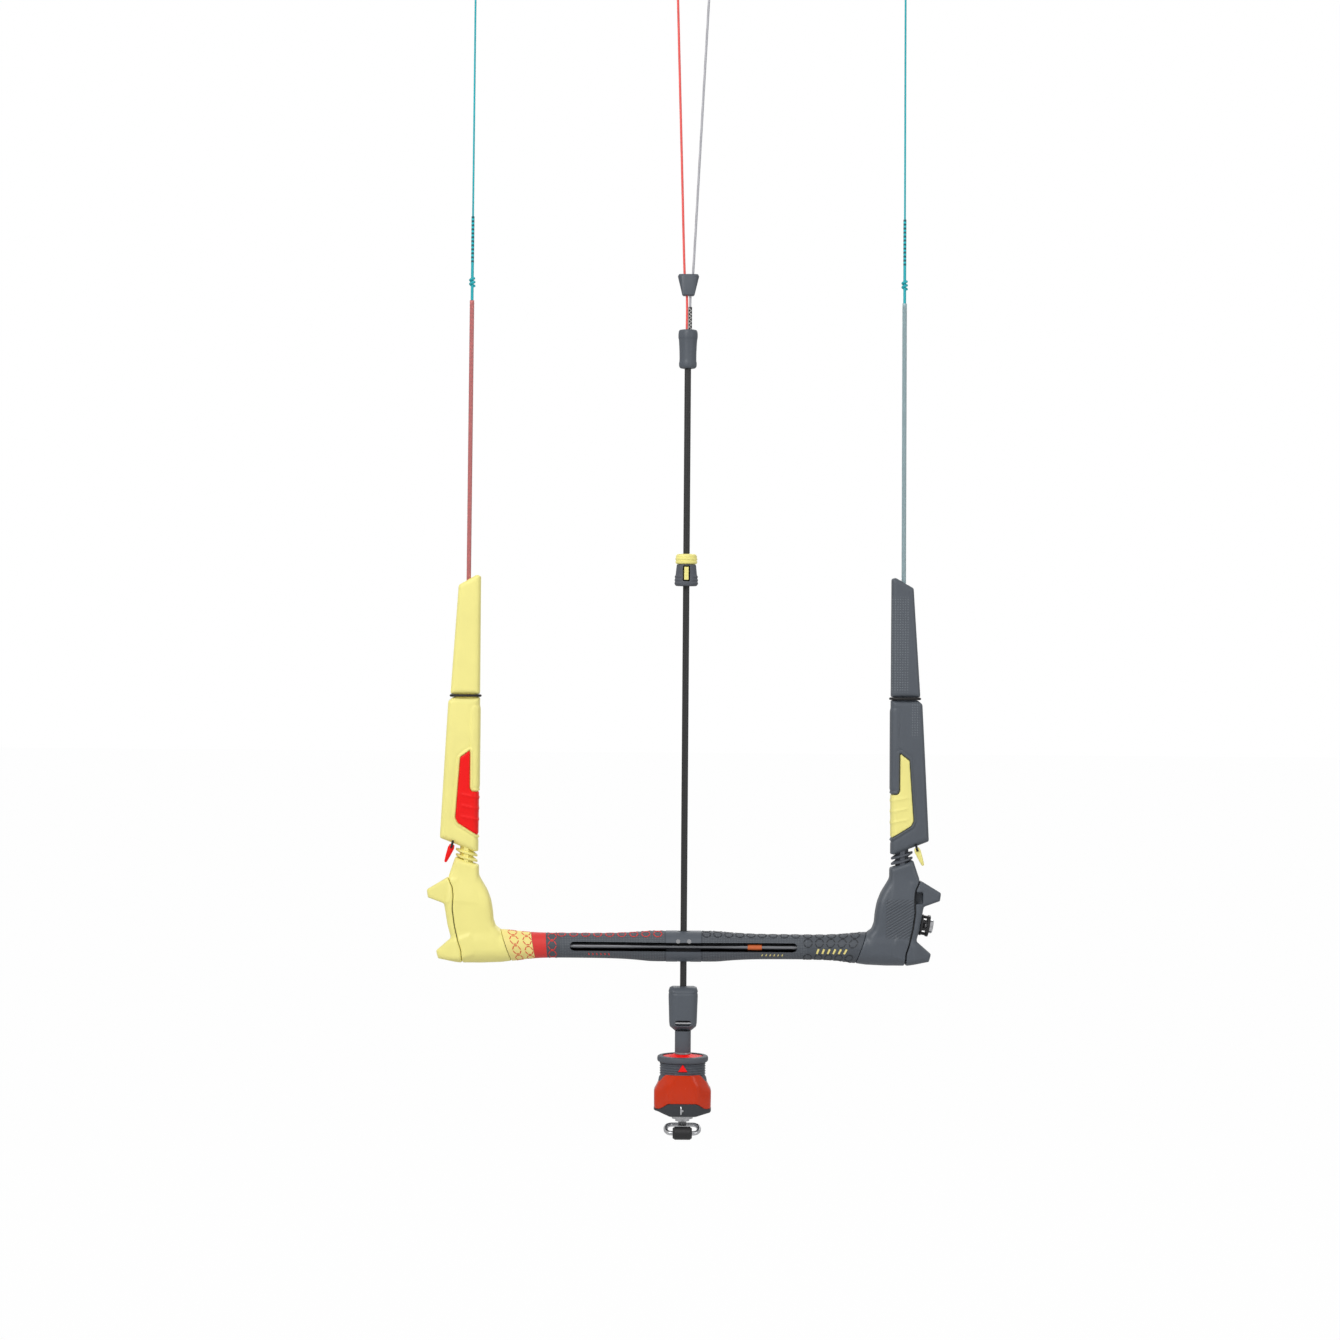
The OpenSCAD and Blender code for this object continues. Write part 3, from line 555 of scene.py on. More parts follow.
def neck(name, side):
    """A rubber bellows: two sloping ribs on a core, bridged at front and back."""
    profile = [(6.6, 74), (6.6, 82.5)]
    for rib in (87, 92.4):
        profile += [(6.7, rib - 1.3), (10.4, rib - 1.15), (10.9, rib - 0.7), (10.9, rib + 0.7),
                    (10.4, rib + 1.15), (6.7, rib + 1.3)]
    profile += [(6.6, 98.5), (6.6, 101)]
    slope = math.tan(math.radians(16.7))
    points, faces = turned(profile, 40)
    points = [(u, y, v + slope * u * step_up(math.hypot(u, y), 6.3, 7.5)) for u, y, v in points]
    mat, slot = ("yellow", "yellow_rubber") if side < 0 else ("slate_rubber", "slate_rubber")
    made = [put(f"{name}_bellows", points, faces, mat, None, slot, [f"{name}_neck"], side)]
    for where, turn in (("front", 1), ("back", -1)):
        rings = [[(turn * a, -turn * b, v) for a, b in ((-2.2, 9.3), (2.2, 9.3), (2.8, 5.5), (-2.8, 5.5))]
                 for v in np.linspace(82.5, 98.5, 14)]
        made.append(put(f"{name}_bridge_{where}", *loft(rings), mat, None, slot, side=side))
    for piece in made:
        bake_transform(piece)


# ---------------------------------------------------------------- floats


BODY_OUTLINE = [[-11.2, 92.2], [26.5, 107], [19.2, 243.5], [14.5, 247.6], [-12, 247.6]]
PANEL = [[-30, 154], [-5.5, 154], [-3.5, 157], [-3.5, 236], [-6, 239.5], [-30, 239.5]]
ACCENT = [[-3.5, 195], [-3.5, 157], [-5.5, 153.5], [-30, 153.5], [-30, 98], [8.5, 122], [11, 127],
          [6.5, 187.5]]
SLEEVE_OUTLINE = [[-11.9, 250.4], [17, 250.4], [9.8, 359.5], [-8.5, 370], [-12.2, 368.6]]


def float_field(u, y, v):
    """The lower float: a rounded slab with a raised inner panel behind a fine groove."""
    flat_u, flat_v = u[:, :1, :], v[:, :1, :]
    panel = outline_distance(flat_u, flat_v, PANEL)
    half = 12.5 - 1.5 * step_up(flat_v, 190, 248)
    half = half + 0.6 * step_up(-panel, 0, 1.2) - 0.7 * np.exp(-(panel / 0.8) ** 2)
    proud = 0.7 * step_up(-panel, 0, 3) * step_up(-flat_u, 8, 11)
    return pillow(outline_distance(flat_u, flat_v, BODY_OUTLINE) - proud, y, half, 5.5)


def float_body(name, side):
    """The lower float and its coloured inlay, which wraps round the float's inner edge."""
    def accent(u, y, v):
        """Distance outside the inlay's outline, and how far a point is below its floor."""
        return outline_distance(u[:, :1, :], v[:, :1, :], ACCENT), 9.5 * step_up(u, -9.6, -8.2) - np.abs(y)

    def body(u, y, v):
        away, below = accent(u, y, v)
        lip = 0.9 * np.exp(-((away - 1.3) / 0.9) ** 2) - 0.8 * np.exp(-((away - 3.3) / 0.8) ** 2)
        shell = soft_cut(float_field(u, y, v) - lip, -np.maximum(away, below), 0.8)
        return np.maximum(shell, np.minimum(7.2 - np.hypot(u, y), 104 - v))

    def inlay(u, y, v):
        away, below = accent(u, y, v)
        whole = float_field(u, y, v)
        for rib in (149, 138, 127):
            lean = v - rib - 0.2 * (u + 3)
            whole = whole - 0.75 * np.exp(-(lean / 1.1) ** 2) * step_up(-u, -7, -3)
        return soft_cut(np.maximum(np.maximum(whole, below + 0.3), 7.6 - np.hypot(u, y)), away + 0.2, 0.9)
    put(f"{name}_float_shell", *skin(body, (-13, -14, 95), (27, 14, 248), 0.9),
        "yellow_float" if side < 0 else "slate_lower", f"{name}_float",
        "yellow_float" if side < 0 else "slate_float", [f"{name}_float_body"], side)
    put(f"{name}_float_inlay", *skin(inlay, (-13, -14, 96), (13, 14, 197), 0.8),
        "red" if side < 0 else "yellow", f"{name}_float", "red_plastic" if side < 0 else "yellow_plastic",
        [f"{name}_float_accent"], side)


def float_sleeve(name, side):
    def field(u, y, v):
        flat_u, flat_v = u[:, :1, :], v[:, :1, :]
        half = 11 - 3.0 * step_up(flat_v, 250, 365)
        sleeve = pillow(outline_distance(flat_u, flat_v, SLEEVE_OUTLINE), y, half, 4.5)
        bore = np.where(v > 340, 2.9 - np.hypot(u - 1, y), -1)
        return np.maximum(sleeve, bore)
    put(f"{name}_float_top", *skin(field, (-13, -12, 249), (17, 12, 368), 1.0),
        "yellow_float" if side < 0 else "slate_float", f"{name}_float",
        "yellow_float" if side < 0 else "slate_float", [f"{name}_float_sleeve"], side)


def float_ring(name, side):
    """A round rubber ring, squeezed between the two shells."""
    around, steps, across = [], 56, 8
    for k in range(steps):
        a = 2 * math.pi * k / steps
        bend = (abs(math.cos(a)) ** 4 + abs(math.sin(a)) ** 4) ** -0.25
        around.append((2.2 + 14.6 * bend * math.cos(a), 11.2 * bend * math.sin(a), 249))
    points, faces = [], []
    for k, (u, y, v) in enumerate(around):
        outward = Vector((u - 2.2, y, 0)).normalized()
        for j in range(across):
            b = 2 * math.pi * j / across
            points.append((u + 1.3 * outward.x * math.cos(b), y + 1.3 * outward.y * math.cos(b),
                           v + 1.3 * math.sin(b)))
            faces.append((k * across + j, (k + 1) % steps * across + j,
                          (k + 1) % steps * across + (j + 1) % across, k * across + (j + 1) % across))
    put(f"{name}_float_band", points, faces, "black_rubber", f"{name}_float", "black_rubber",
        [f"{name}_float_ring"], side)


# ---------------------------------------------------------------- steering lines


LEADER = [[1, 0, 134], [0.5, 0, 250], [0, 0, 366], [-0.5, 0, 482], [-1, 0, 598], [-1.2, 0, 644]]
FLYING = [[-1.2, 0, 644], [-1.5, 0, 714], [-2, 0, 830], [-2.5, 0, 946], [-2.6, 0, 959]]


def placed(route, side):
    """A route in an end frame as points in the row frame."""
    return [(side * (LINE_X + u), y, BAR_Z + v) for u, y, v in route]


def between(route, low, high, steps=24):
    """Points along a route from one height to another."""
    xs, ys, heights = zip(*route)
    return [(float(np.interp(z, heights, xs)), float(np.interp(z, heights, ys)), float(z))
            for z in np.linspace(low, high, steps)]


def loop(name, at, r, mat, body, ring_r=7.0):
    """A knot with a loop of the same line above it."""
    def strand(t):
        a = 2 * math.pi * t
        return (at[0] + ring_r * math.sin(a) * (1 - 0.25 * math.cos(a)), at[1],
                at[2] + ring_r + r - ring_r * math.cos(a))
    ring = line(f"{name}_end_loop", [strand(t / 36) for t in range(37)], 2 * r, mat, body)
    coil = [(at[0] + 1.15 * r * math.cos(t), at[1] + 1.15 * r * math.sin(t), at[2] - 1.4 * r + 0.22 * r * t)
            for t in np.linspace(0, 4 * math.pi, 40)]
    knot = line(f"{name}_end_knot", coil, 1.9 * r, mat, body)
    return [ring, knot]


def steering_line(name, side):
    body = f"{name}_line"
    leader, flying = placed(LEADER, side), placed(FLYING, side)
    tube = line(f"{name}_leader_sheath", between(leader, leader[0][2], leader[-1][2]), 4.6, f"{name}_tube",
                body, [f"{name}_leader_tube"])
    core = line(f"{name}_leader_core", between(leader, 520, 824), 2.8, f"{name}_core", body)
    thin = line(f"{name}_steering_line", between(flying, flying[0][2], flying[-1][2]), 2, "cyan_line", body,
                [f"{name}_flying_line"])
    pigtail = line(f"{name}_pigtail", between(flying, 826, 863), 3, "cyan_line", body)
    splice = line(f"{name}_splice", between(flying, 863, 910), 3.1, "cyan_sewn", body)
    x = side * (LINE_X - 1.3)
    wrap = [(x + 2.0 * math.cos(t), 2.0 * math.sin(t), 840.5 + 0.62 * t) for t in np.linspace(0, 12.2, 60)]
    hitch = line(f"{name}_hitch", wrap, 2.6, "cyan_line", body)
    ends = loop(f"{name}_steering", flying[-1], 1.0, "cyan_line", body)


# ---------------------------------------------------------------- front lines and main line


RED_ROUTE = [[-1.4, 0, 788], [-1.4, 0, 830], [-4, 0, 856], [-7, 0, 950], [-10, 0, 1045], [-12.6, 0, 1128],
             [-13, 0, 1141]]
GREY_ROUTE = [[2, 0, 788], [2, 0, 830], [4.6, 0, 856], [9.4, 0, 950], [14.2, 0, 1045], [18.4, 0, 1128],
              [19, 0, 1141]]


def front_lines():
    """The red and grey front lines, and the stitched cover at the foot of the grey one."""
    for colour, route in (("red", RED_ROUTE), ("grey", GREY_ROUTE)):
        rope = line(f"{colour}_line_above", [tuple(p) for p in eased(route, 6)], 2.5, f"{colour}_line",
                    "trunk", [f"{colour}_front_line"])
        extra = loop(f"{colour}_front", route[-1], 1.25, f"{colour}_line", "trunk")
        if colour == "grey":
            cover = [(2, 0, 797), (2, 0, 809), (2, 0, 821)]
            extra.append(line("grey_line_cover", cover, 3.6, "black_rubber", "trunk"))
            zigzag = []
            for k in range(25):
                swing = math.sin(k * math.pi / 2)
                zigzag.append((2 + 1.4 * swing, -1.75 + 0.45 * abs(swing), 798.5 + 0.9 * k))
            extra.append(line("grey_cover_stitches", zigzag, 0.6, "stitches", "trunk"))


def main_fittings():
    """The top sleeve and the wedge that splits the front lines."""
    profile = eased([(6.4, 759.6), (7.6, 760.2), (8.5, 762), (8.6, 765), (8.2, 768), (8.3, 776), (8.7, 785),
                     (9.0, 788.5), (9.4, 790.5), (9.3, 795), (8.6, 797.6), (7.2, 798.2)], 4)
    square = lambda a, z: 1 + 0.03 * math.cos(4 * a)
    put("top_sleeve_moulding", *turned(profile, 48, square), "slate", "trunk", "slate_plastic",
        ["top_sleeve"])
    rings = []
    for z, w, c, d in ((832.3, 5.2, 3.4, 4.2), (833.4, 6.2, 3.8, 5.3), (851.5, 10.6, 6.6, 5.5),
                       (853.6, 9.6, 6.2, 4.4)):
        planes = [(0, w), (180, w), (90, d), (270, d)]
        planes += [(a, (w + c) / 2 * math.sin(math.radians(32)) + d * math.cos(math.radians(32)) * 0.93)
                   for a in (58, 122, 238, 302)]
        rings.append(polygon_ring(planes, 22, z))
    put("splitter_moulding", *loft(rings), "slate", "trunk", "slate_plastic", ["line_splitter"])


# ---------------------------------------------------------------- stopper


STOPPER_SIDE = [(542, 10.4), (543, 11), (545.5, 11.2), (551, 10.9), (557, 10.3), (563.6, 9.6)]
STOPPER_RIBS = (544.6, 548, 551.4)


def stopper():
    """The stopper's ribbed body, with a window for its button, and its yellow cap."""
    def body(x, y, z):
        r = np.hypot(x, y)
        from_front = np.abs(np.arctan2(x, -y)) * r
        ribs = sum(np.exp(-((z - h) / 1.05) ** 2) for h in STOPPER_RIBS)
        side = np.interp(z, *zip(*STOPPER_SIDE)) + 0.85 * ribs * step_up(from_front, 4.4, 7)
        tube = np.maximum(r - side, 3.4 - r)
        tube = soft_cut(tube, np.maximum(542 - z, z - 563.6), 0.6)
        window = np.maximum(np.maximum(np.abs(x) - 3.4, np.abs(z - 554.5) - 7.7), y + 2.5)
        return soft_cut(tube, -window, 0.4)
    put("stopper_lower_moulding", *skin(body, (-12.5, -12.5, 541.5), (12.5, 12.5, 564), 0.5, 2),
        "slate_rubber", "stopper", "slate_plastic", ["stopper_body"])
    cap = [(3.4, 563.9), (9.2, 563.9), (10.4, 564.5), (10.9, 565.6), (10.9, 566.6), (10.3, 567.5),
           (11, 568.4), (11, 569.6), (10.3, 570.5), (10.6, 571.2), (10.4, 572.4), (9.6, 573.5),
           (8.2, 574), (3.4, 573.6)]
    points, faces = turned(cap, 56)
    faces = faces[:-2] + [(13 * 56 + k, 13 * 56 + (k + 1) % 56, (k + 1) % 56, k) for k in range(56)]
    put("stopper_upper_moulding", points, faces, "yellow", "stopper", "yellow_plastic", ["stopper_cap"])


# ---------------------------------------------------------------- grips and centre


GRIP = [(17.8, 15.2), (22, 15.3), (34, 15.1), (44, 14.2), (58, 13.2), (76, 12.6), (100, 12.4), (130, 12.4),
        (144, 12.6), (158, 13.3), (168, 14.3), (178, 15.4), (186, 15.8)]
SLOT_END = 113.5
SLOT_HALF = 4.6


def grip_radius(x):
    return float(np.interp(abs(x), *GRIP_CURVE))


def smooth_curve(pairs):
    run = eased(pairs, 8)
    return [p[0] for p in run], [p[1] for p in run]


GRIP_CURVE = smooth_curve(GRIP)


def seam_shift(x, z):
    """How far a point near the grip's outer end moves along the bar, to follow the slanted seam."""
    lean = (z - 15.5) * 11 / 30.8
    return lean * min(max((abs(x) - 125) / 57.5, 0), 1)


def on_grip(x, arc, lift=0.0):
    """The point at a distance along the bar and round it from the front, over the grip's surface."""
    r = grip_radius(x)
    a = arc / r
    z = r * math.sin(a)
    return x + seam_shift(x, z), -(r + lift) * math.cos(a), (r + lift) * math.sin(a)


def grip(name, side):
    """A grip with its half of the indicator slot. It ends at the slanted seam."""
    stations = [17.2, 17.8] + list(np.arange(20, 108, 2.5)) + list(np.arange(108, 114, 0.5)) + \
        list(np.arange(114.5, 182.5, 2.0)) + [182.0, 182.4]
    rings = []
    for x in stations:
        r = grip_radius(x) - (0.5 if x in (17.2, 182.4) else 0)
        past = x - (SLOT_END - SLOT_HALF)
        h = SLOT_HALF if past < 0 else math.sqrt(max(SLOT_HALF ** 2 - past ** 2, 0))
        a0 = math.asin(max(h, 0.02) / r)
        ring = []
        for k in range(45):
            a = a0 + (2 * math.pi - 2 * a0) * k / 44
            ring.append((x + seam_shift(x, r * math.sin(a)), -r * math.cos(a), r * math.sin(a)))
        floor = -4.3 if h > 0.3 else -r + 0.2
        for z in (-h, -h / 3, h / 3, h):
            ring.append((x, floor, z))
        rings.append(ring)
    points, faces = loft(rings)
    flip = side > 0
    points = [(side * x, y, z + BAR_Z) for x, y, z in points]
    faces = [f[::-1] if flip else f for f in faces]
    return put(f"{name}_grip_moulding", points, faces, "grip", "bar", f"{name}_grip_foam", [f"{name}_grip"])


def band(name, side, low, high, mat, slot, lift=0.12, count=72):
    """A coloured band round the grip between two places along it, as a thin closed skin."""
    across = [low, *np.linspace(low + 0.05, high - 0.05, 12), high]
    rings = []
    for rise, row in ((lift, across), (-0.5, across[::-1])):
        for x in row:
            height = rise if low < x < high else min(rise, -0.1)
            ring = []
            for k in range(count):
                p = on_grip(x, 2 * math.pi * k / count * grip_radius(x), height)
                ring.append((side * p[0], p[1], BAR_Z + p[2]))
            rings.append(ring)
    points, faces = loft(rings, open_ends=True)
    start = (len(rings) - 1) * count
    faces += [(start + k, start + (k + 1) % count, (k + 1) % count, k) for k in range(count)]
    if side > 0:
        faces = [f[::-1] for f in faces]
    return put(name, points, faces, mat, "bar", slot)


def stroke(points, faces, side, ends, width, lift):
    """Adds one raised stroke on the grip between two (x, arc) places, in short straight parts."""
    (x0, s0), (x1, s1) = ends
    run = math.hypot(x1 - x0, s1 - s0)
    nx, ns = -(s1 - s0) / run * width / 2, (x1 - x0) / run * width / 2
    parts = math.ceil(run / 1.2)
    rings = []
    for k in range(parts + 1):
        x, s = x0 + (x1 - x0) * k / parts, s0 + (s1 - s0) * k / parts
        ring = []
        for turn, rise in ((1, -0.25), (-1, -0.25), (-1, lift), (1, lift)):
            p = on_grip(x + turn * nx, s + turn * ns, rise)
            ring.append((side * p[0], p[1], BAR_Z + p[2]))
        rings.append(ring)
    more, these = loft(rings)
    start = len(points)
    points += more
    faces += [tuple(start + i for i in (f if side > 0 else f[::-1])) for f in these]


def ring_marks(name, side, mat, slot, places, size=1.0, width=0.9, lift=0.3):
    """Six-sided rings with open corners on the grip, centred at (x, arc) places."""
    half = [((4.5, 0.7), (2.4, 3.9)), ((1.7, 4.3), (-1.7, 4.3)), ((-2.4, 3.9), (-4.5, 0.7))]
    points, faces = [], []
    for x, s in places:
        for flip in (size, -size):
            for ends in half:
                there = [(x + size * dx, s + flip * ds) for dx, ds in ends]
                stroke(points, faces, side, there, width, lift)
    return put(name, points, faces, mat, "bar", slot, sharp=20)


def grip_rings():
    """Ring marks on both grips, and plain yellow and red dashes beside the slot."""
    def rows(places, first, pitch):
        """Places a whole number of times round the grip, within half a turn each way."""
        count = {x: int(2 * math.pi * grip_radius(x) / pitch) for x in places}
        return [(x, first + pitch * (k - count[x] // 2)) for x in places for k in range(count[x])]

    ring_marks("left_outer_rings", -1, "red_print", "red_plastic",
               rows([171.5], 6.4, 10.26) + rows([157.9], 5.7, 10.4))
    ring_marks("left_inner_rings", -1, "red_print", "red_plastic", rows([131.5], 1, 9.8))
    upper = [(25.8 + 12 * k, 15.2 + 10 * j) for k in range(9) for j in range(3)]
    ring_marks("left_top_rings", -1, "red_print", "red_plastic", upper, 0.95)
    upper = [(22.9 + 11.1 * k, 15.2 + 10 * j) for k in range(9) for j in range(3)]
    ring_marks("right_top_rings", 1, "dark_print", "black_rubber", upper, 0.95)
    outer = [(124 + 12 * k, s) for k in range(5) for s in (15.4, 5.2, -11.2, 25.6, 35.8, -21.4)]
    ring_marks("right_outer_rings", 1, "dark_print", "black_rubber", outer)
    for name, side, mat, slot, places, long in (
            ("right_yellow_bars", 1, "yellow_grip", "yellow_plastic",
             [(134 + 6.2 * k, -3.4) for k in range(6)], 5.0),
            ("right_slot_bars", 1, "yellow_grip", "yellow_plastic",
             [(78 + 4 * k, -8.2) for k in range(6)], 2.4),
            ("left_slot_bars", -1, "red_print", "red_plastic", [(74 + 4 * k, -8.2) for k in range(6)],
             2.4)):
        points, faces = [], []
        for x, s in places:
            ends = [(x, s - long / 2), (x + long * 0.3, s + long / 2)]
            stroke(points, faces, side, ends, long * 0.42, 0.14)
        put(name, points, faces, mat, "bar", slot, sharp=20)


# ---------------------------------------------------------------- quick release


HOUSING = [[-8.2, 97.5], [8.2, 97.5], [13.2, 102.2], [13.8, 106], [14.6, 131], [14.6, 137.5], [13.4, 140.8],
           [10.5, 142], [-10.5, 142], [-13.4, 140.8], [-14.6, 137.5], [-14.6, 131], [-13.8, 106],
           [-13.2, 102.2]]


def swivel():
    """The housing over the quick release, with its window, a parting groove and rounded shoulders."""
    def field(x, y, z):
        flat = outline_distance(x[:, :1, :], z[:, :1, :], HOUSING)
        body = pillow(flat, y, 12.6 - 4.2 * step_up(-z[:, :1, :], -104, -97.5), 9.5)
        body = body + 0.8 * np.exp(-((z - 135.5) / 0.6) ** 2)
        window = np.maximum(np.hypot(np.maximum(np.abs(x) - 5.6, 0), z - 106) - 2.5, y + 6)
        return soft_cut(body, -window, 0.5)
    return skin(field, (-15.5, -13.5, 97), (15.5, 13.5, 142.5), 0.6, 2)


def release_shell():
    """The glossy collar: eight soft facets, its front edges stepping down to the sides."""
    def section(z, w, d, k):
        return [(0, w), (180, w), (90, d), (270, d)] + [(a, k) for a in (48, 132, 228, 312)]
    stations = ((20, 27.8, 22.8, 26.6), (22, 28.4, 23.1, 27.1), (34, 28.5, 23.5, 27.3),
                (41, 28.5, 23.6, 27.1), (43.5, 28.0, 23.6, 26.6), (47, 26.4, 23.6, 25.2),
                (51, 24.8, 23.6, 24.2), (52.4, 24.3, 23.5, 23.9),
                (53, 23.7, 22.9, 23.3))
    rings = []
    for z, w, d, k in stations:
        ring = []
        for x, y, _ in polygon_ring(section(z, w, d, k), 26, z, 96):
            side_share = step_up(abs(x), 13, 24)
            low = 27.3 - 6 * side_share
            high = 55.4 - 8.0 * step_up(abs(x), 16, 25)
            ring.append((x, y, low + (high - low) * (z - 20) / 33))
        rings.append(ring)
    inner = [[(x * 0.82, y * 0.86, z) for x, y, z in rings[-1]],
             [(x * 0.78, y * 0.82, z) for x, y, z in rings[0]]]
    points, faces = loft([*rings, *inner], open_ends=True)
    n, m = 96, len(rings) + 2
    faces += [((m - 1) * n + k, (m - 1) * n + (k + 1) % n, (k + 1) % n, k) for k in range(n)]
    put("release_shell", points, faces, "shell", "release_collar", "orange_red_shell", ["collar_shell"])


def release_sleeve():
    """The rubber grip: ribs, a lip, and a small arrowhead on the front and back."""
    ribs = []
    for k in range(5):
        z = 54.2 + 2.5 * k
        ribs += [(22.0, z), (22.9, z + 0.7), (22.9, z + 1.3), (22.0, z + 2.0)]
    profile = [(20.6, 47.5), (24.3, 48.2), (23.6, 51.5), (22.2, 53.6)] + ribs + \
        [(22.6, 66.2), (24.6, 67.2), (25.4, 68.4), (25.5, 70.6), (25.0, 72.4), (23.8, 73), (20.6, 73),
         (20.4, 71.5)]
    round_points, faces = turned(profile, 72)
    faces = faces[:-2]
    points = []
    for x, y, z in round_points:
        r = math.hypot(x, y)
        share = 1 - 0.13 * (y / r) ** 2 * (1 - step_up(z, 53, 56.5)) if r > 21 else 1
        points.append((x * share, y * share, z))
    n, m = 72, len(profile)
    faces += [((m - 1) * n + k, (m - 1) * n + (k + 1) % n, (k + 1) % n, k) for k in range(n)]
    put("release_grip", points, faces, "slate_rubber", "release_collar", "slate_rubber", ["collar_grip"])
    for name, turn in (("front", 1), ("back", -1)):
        rows = [(-5, 58.8), (5, 58.8), (0.4, 66), (-0.4, 66)]
        low = [(x * turn, -22.0 * turn, z) for x, z in rows]
        high = [(x * 0.9 * turn, -24.1 * turn, 59.3 + (z - 58.8) * 0.93) for x, z in rows]
        put(f"release_arrow_{name}", *loft([low, high]), "red", "release_collar", "red_plastic", bevel=0.3)


def release_base():
    """The dark base: a skirt with slanted lower edges under the shell."""
    corners = [(a, 27.3) for a in (48, 132, 228, 312)]
    top = polygon_ring([(0, 28.6), (180, 28.6), (90, 23.2), (270, 23.2)] + corners, 26, 0, 96)
    rings = []
    for t, grow in ((0, 0.86), (0.12, 0.97), (0.5, 1.0), (1, 1.0)):
        ring = []
        for x, y, _ in top:
            high = 27.0 - 6 * step_up(abs(x), 13, 24)
            low = 14.0 + 4.6 * step_up(-x, 13, 28) + 2.4 * step_up(x, 14, 28)
            ring.append((x * grow, y * grow, low + (high - low) * t))
        rings.append(ring)
    return loft(rings)


def leash_eye():
    """The flat lug behind the base, with the hole for the safety leash."""
    eye_y, eye_z, hole_r, half_thick = 31, 20, 4, 2.5

    def field(x, y, z):
        ring = np.hypot(y - eye_y, z - eye_z)
        web = np.maximum(np.maximum(20 - y, y - eye_y), np.abs(z - eye_z) - 6.8)
        flat = np.maximum(np.minimum(ring - 7.2, web), hole_r - ring)
        return soft_cut(flat, np.abs(x) - half_thick, 0.8)
    return skin(field, (-3.5, 19, 12), (3.5, 39, 28), 0.5, 2)


def harness():
    """The steel ring through the stud: it carries the roller across its front."""
    half = [(0, 0, 3.5), (8, 0, 3.5), (12.2, -1, 3.4), (15.2, -4.5, 2.8), (16.4, -10, 1.6),
            (16.3, -16, 0.3), (14.8, -21, -0.9), (11.6, -23.4, -1.5), (7, -23.6, -1.55)]
    route = eased([(-x, y, z) for x, y, z in half[::-1]] + half[1:], 5)
    line("harness_ring", [tuple(p) for p in route], 4.4, "steel", "bow",
         ["harness_bow", "roller_pin"])
    lever = [(-1.4, -23.0, 17.2), (-1.4, -23.6, 18), (-1.4, -23.6, 23.2), (-1.4, -23.0, 24.2)]
    line("trigger_lever", lever, 2.0, "steel", "release_body")


# ---------------------------------------------------------------- everything in place


def dress(node, mat):
    """A CAD node that keeps its shape and takes a finished material."""
    for place in nodes[node].material_slots:
        place.material = M[mat].mat


def tab(name, side):
    """A soft pull tab on its cord."""
    red = side < 0
    rings = []
    for t, w, d in ((0, 1.6, 0.9), (0.04, 2.6, 1.4), (0.2, 3.2, 1.7), (0.6, 2.4, 1.4), (0.95, 1.4, 0.9),
                    (1, 0.7, 0.5)):
        u, v = 13.4 + 7 * t, 100.9 - 17.8 * t
        rings.append([(u + w * math.cos(a) * 0.94, -13.3 + d * math.sin(a), v + w * math.cos(a) * 0.34)
                      for a in np.linspace(0, 2 * math.pi, 17)[:-1]])
    put(f"{name}_pull", *loft(rings[::-1]), "red" if red else "yellow", f"{name}_pull",
        "red_plastic" if red else "yellow_plastic", [f"{name}_tab"], side)
    cord = eased([(13.5, -7, 103.9), (13.2, -10.5, 104), (13.3, -14.6, 102.2), (13.9, -15.7, 99.6),
                  (14.6, -15.4, 97.6)], 6)
    line(f"{name}_pull_cord", placed([tuple(p) for p in cord], side), 2.4, "black_rubber", f"{name}_pull")


for name, side in SIDES.items():
    bar_end(name, side)
    winder_cap(name, side)
    seam_filler(name, side)
    neck(name, side)
    float_body(name, side)
    float_sleeve(name, side)
    float_ring(name, side)
    steering_line(name, side)
    grip(name, side)
    tab(name, side)

front_lines()
main_fittings()
stopper()
grip_rings()
band("left_end_yellow", -1, 152.9, 182.3, "yellow_grip", "yellow_plastic")
band("left_red_stripe", -1, 138, 152.7, "red_print", "red_plastic")
put("swivel_housing_moulding", *swivel(), "slate", "trunk", "slate_plastic", ["swivel_housing"])
release_shell()
release_sleeve()
harness()
put("release_base_moulding", *release_base(), "base", "release_body", "black_plastic", ["release_base"],
    bevel=0.4)
put("leash_eye_lug", *leash_eye(), "base", "release_body", "black_plastic")

DRESSED = {
    "steel": ("swivel_ring", "housing_pin", "release_core", "release_pins", "collar_spring", "latch_left",
              "latch_right", "swivel_stud", "centre_screws", "left_sheave",
              "trim_spool", "trim_button"),
    "black": ("harness_roller", "line_guide", "trim_knob"),
    "slate": ("swivel_neck", "centre_front", "centre_rear"),
    "main_line": ("main_line",),
    "red": ("release_cap",),
    "black_rubber": ("stopper_clamp",),
    "yellow": ("stopper_button",),
    "beam": ("bar_beam",),
    "rod": ("indicator_rod",),
    "orange": ("trim_marker",),
}
for mat, names in DRESSED.items():
    for node in names:
        dress(node, mat)


# ---------------------------------------------------------------- stage


def seen_white(tree, lit, output, share):
    """What the camera sees directly is mixed towards plain white. Light is not changed."""
    white = tree.nodes.new("ShaderNodeEmission")
    rays = tree.nodes.new("ShaderNodeLightPath")
    part = tree.nodes.new("ShaderNodeMath")
    part.operation = "MULTIPLY"
    part.inputs[1].default_value = share
    mix = tree.nodes.new("ShaderNodeMixShader")
    tree.links.new(rays.outputs["Is Camera Ray"], part.inputs[0])
    tree.links.new(part.outputs["Value"], mix.inputs[0])
    tree.links.new(lit, mix.inputs[1])
    tree.links.new(white.outputs[0], mix.inputs[2])
    tree.links.new(mix.outputs[0], output)


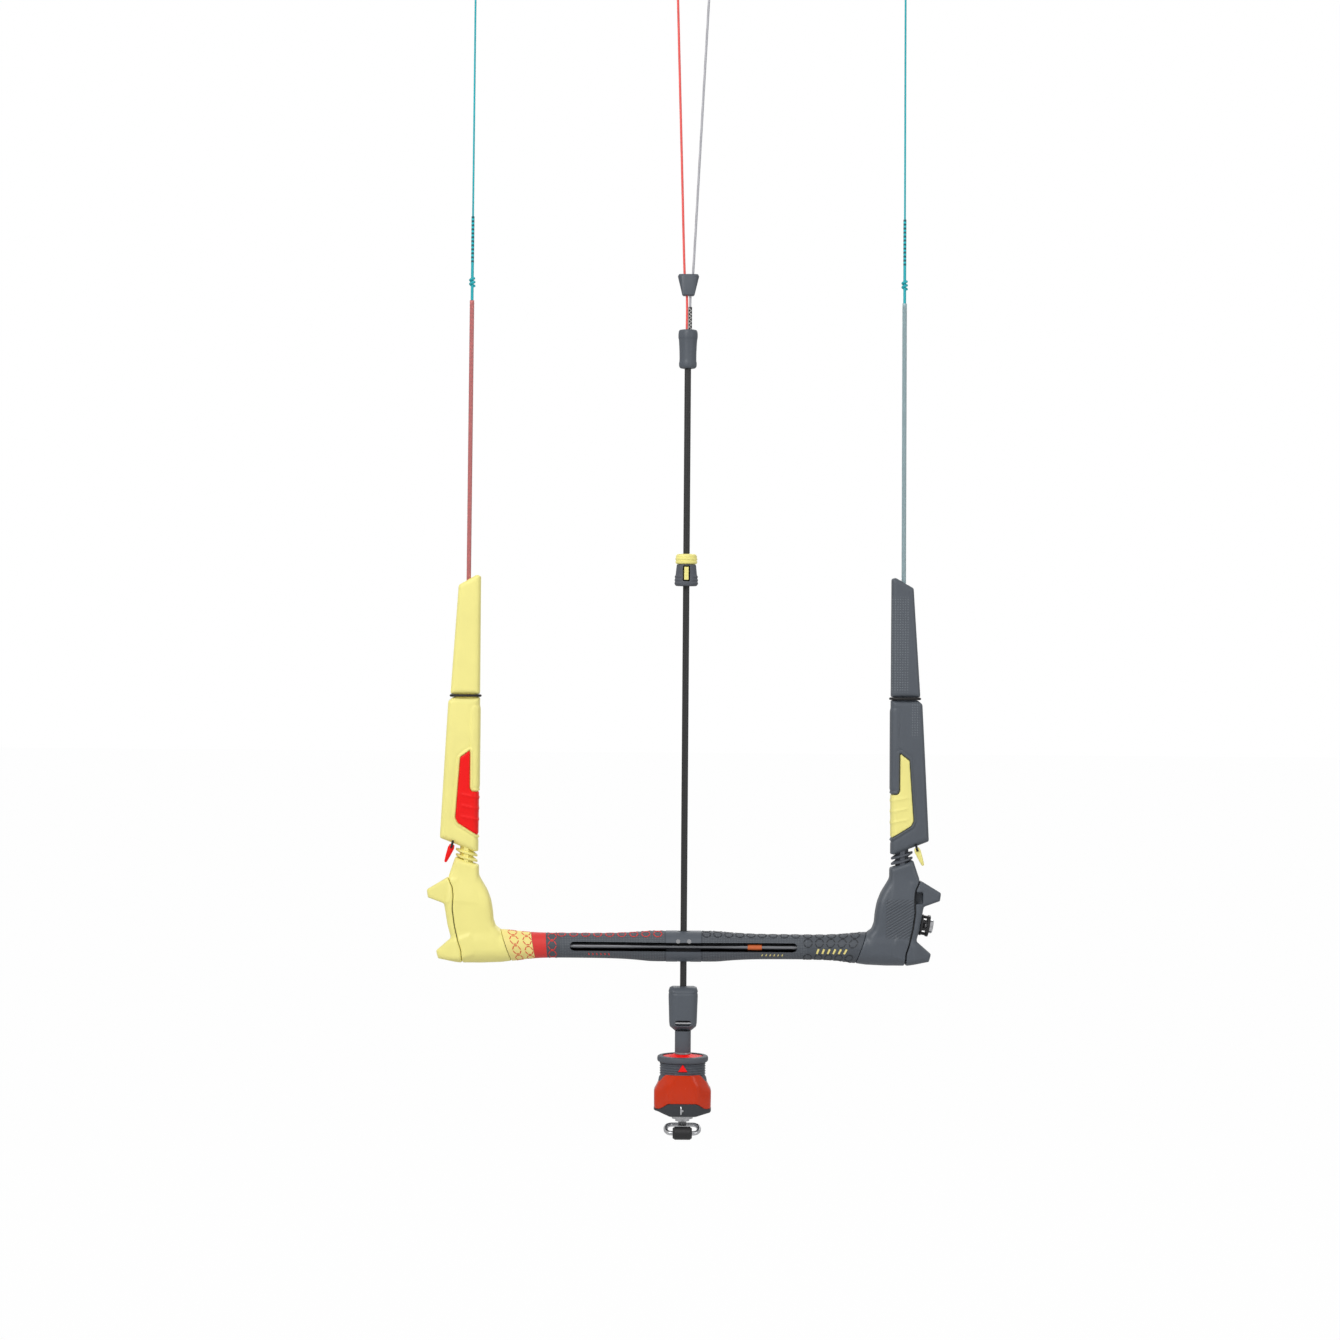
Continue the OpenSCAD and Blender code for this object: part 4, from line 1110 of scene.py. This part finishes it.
def stage():
    """A plain pale floor, a soft sky that is darker below, and three large soft lamps."""
    bpy.ops.mesh.primitive_plane_add(size=60, location=(0, 0, -0.45))
    floor = bpy.context.object
    floor.name = "floor"
    floor.data.materials.append(M["floor"].mat)
    tree = M["floor"].tree
    seen_white(tree, M["floor"].shader.outputs[0], tree.nodes["Material Output"].inputs["Surface"], 0.985)
    for name, place, size, power in (("key", (-1.5, -2.4, 2.3), 1.5, 52),
                                     ("fill", (2.4, -2.0, 1.0), 1.8, 13),
                                     ("rim", (0.5, 2.2, 1.8), 1.5, 16)):
        lamp = bpy.data.lights.new(name, "AREA")
        lamp.size = size
        lamp.energy = power
        obj = bpy.data.objects.new(name, lamp)
        obj.location = place
        aim = Vector((0, 0, 0.45)) - Vector(place)
        obj.rotation_euler = aim.to_track_quat("-Z", "Y").to_euler()
        bpy.context.scene.collection.objects.link(obj)
    world = bpy.data.worlds.new("studio")
    world.use_nodes = True
    tree = world.node_tree
    sky = tree.nodes["Background"]
    sky.inputs["Strength"].default_value = 0.57
    where = tree.nodes.new("ShaderNodeTexCoord")
    parts = tree.nodes.new("ShaderNodeSeparateXYZ")
    fade = tree.nodes.new("ShaderNodeMapRange")
    for socket, value in (("From Min", -0.6), ("From Max", 0.5), ("To Min", 0.45), ("To Max", 1.1)):
        fade.inputs[socket].default_value = value
    tree.links.new(where.outputs["Generated"], parts.inputs[0])
    tree.links.new(parts.outputs["Z"], fade.inputs["Value"])
    tree.links.new(fade.outputs["Result"], sky.inputs["Color"])
    seen_white(tree, sky.outputs[0], tree.nodes["World Output"].inputs["Surface"], 1.0)
    bpy.context.scene.world = world
    bpy.context.scene.view_settings.view_transform = "Standard"


def camera():
    """A level camera in front of the bar, with a slight roll."""
    lens = bpy.data.cameras.new("camera")
    lens.lens = 80.6
    lens.sensor_width = 36
    obj = bpy.data.objects.new("camera", lens)
    place = Matrix.Translation((-0.0156, -3.0, 0.458))
    upright = Matrix.Rotation(math.pi / 2, 4, "X")
    roll = Matrix.Rotation(math.radians(0.43), 4, "Z")
    obj.matrix_world = place @ upright @ roll
    bpy.context.scene.collection.objects.link(obj)
    bpy.context.scene.camera = obj


stage()
camera()
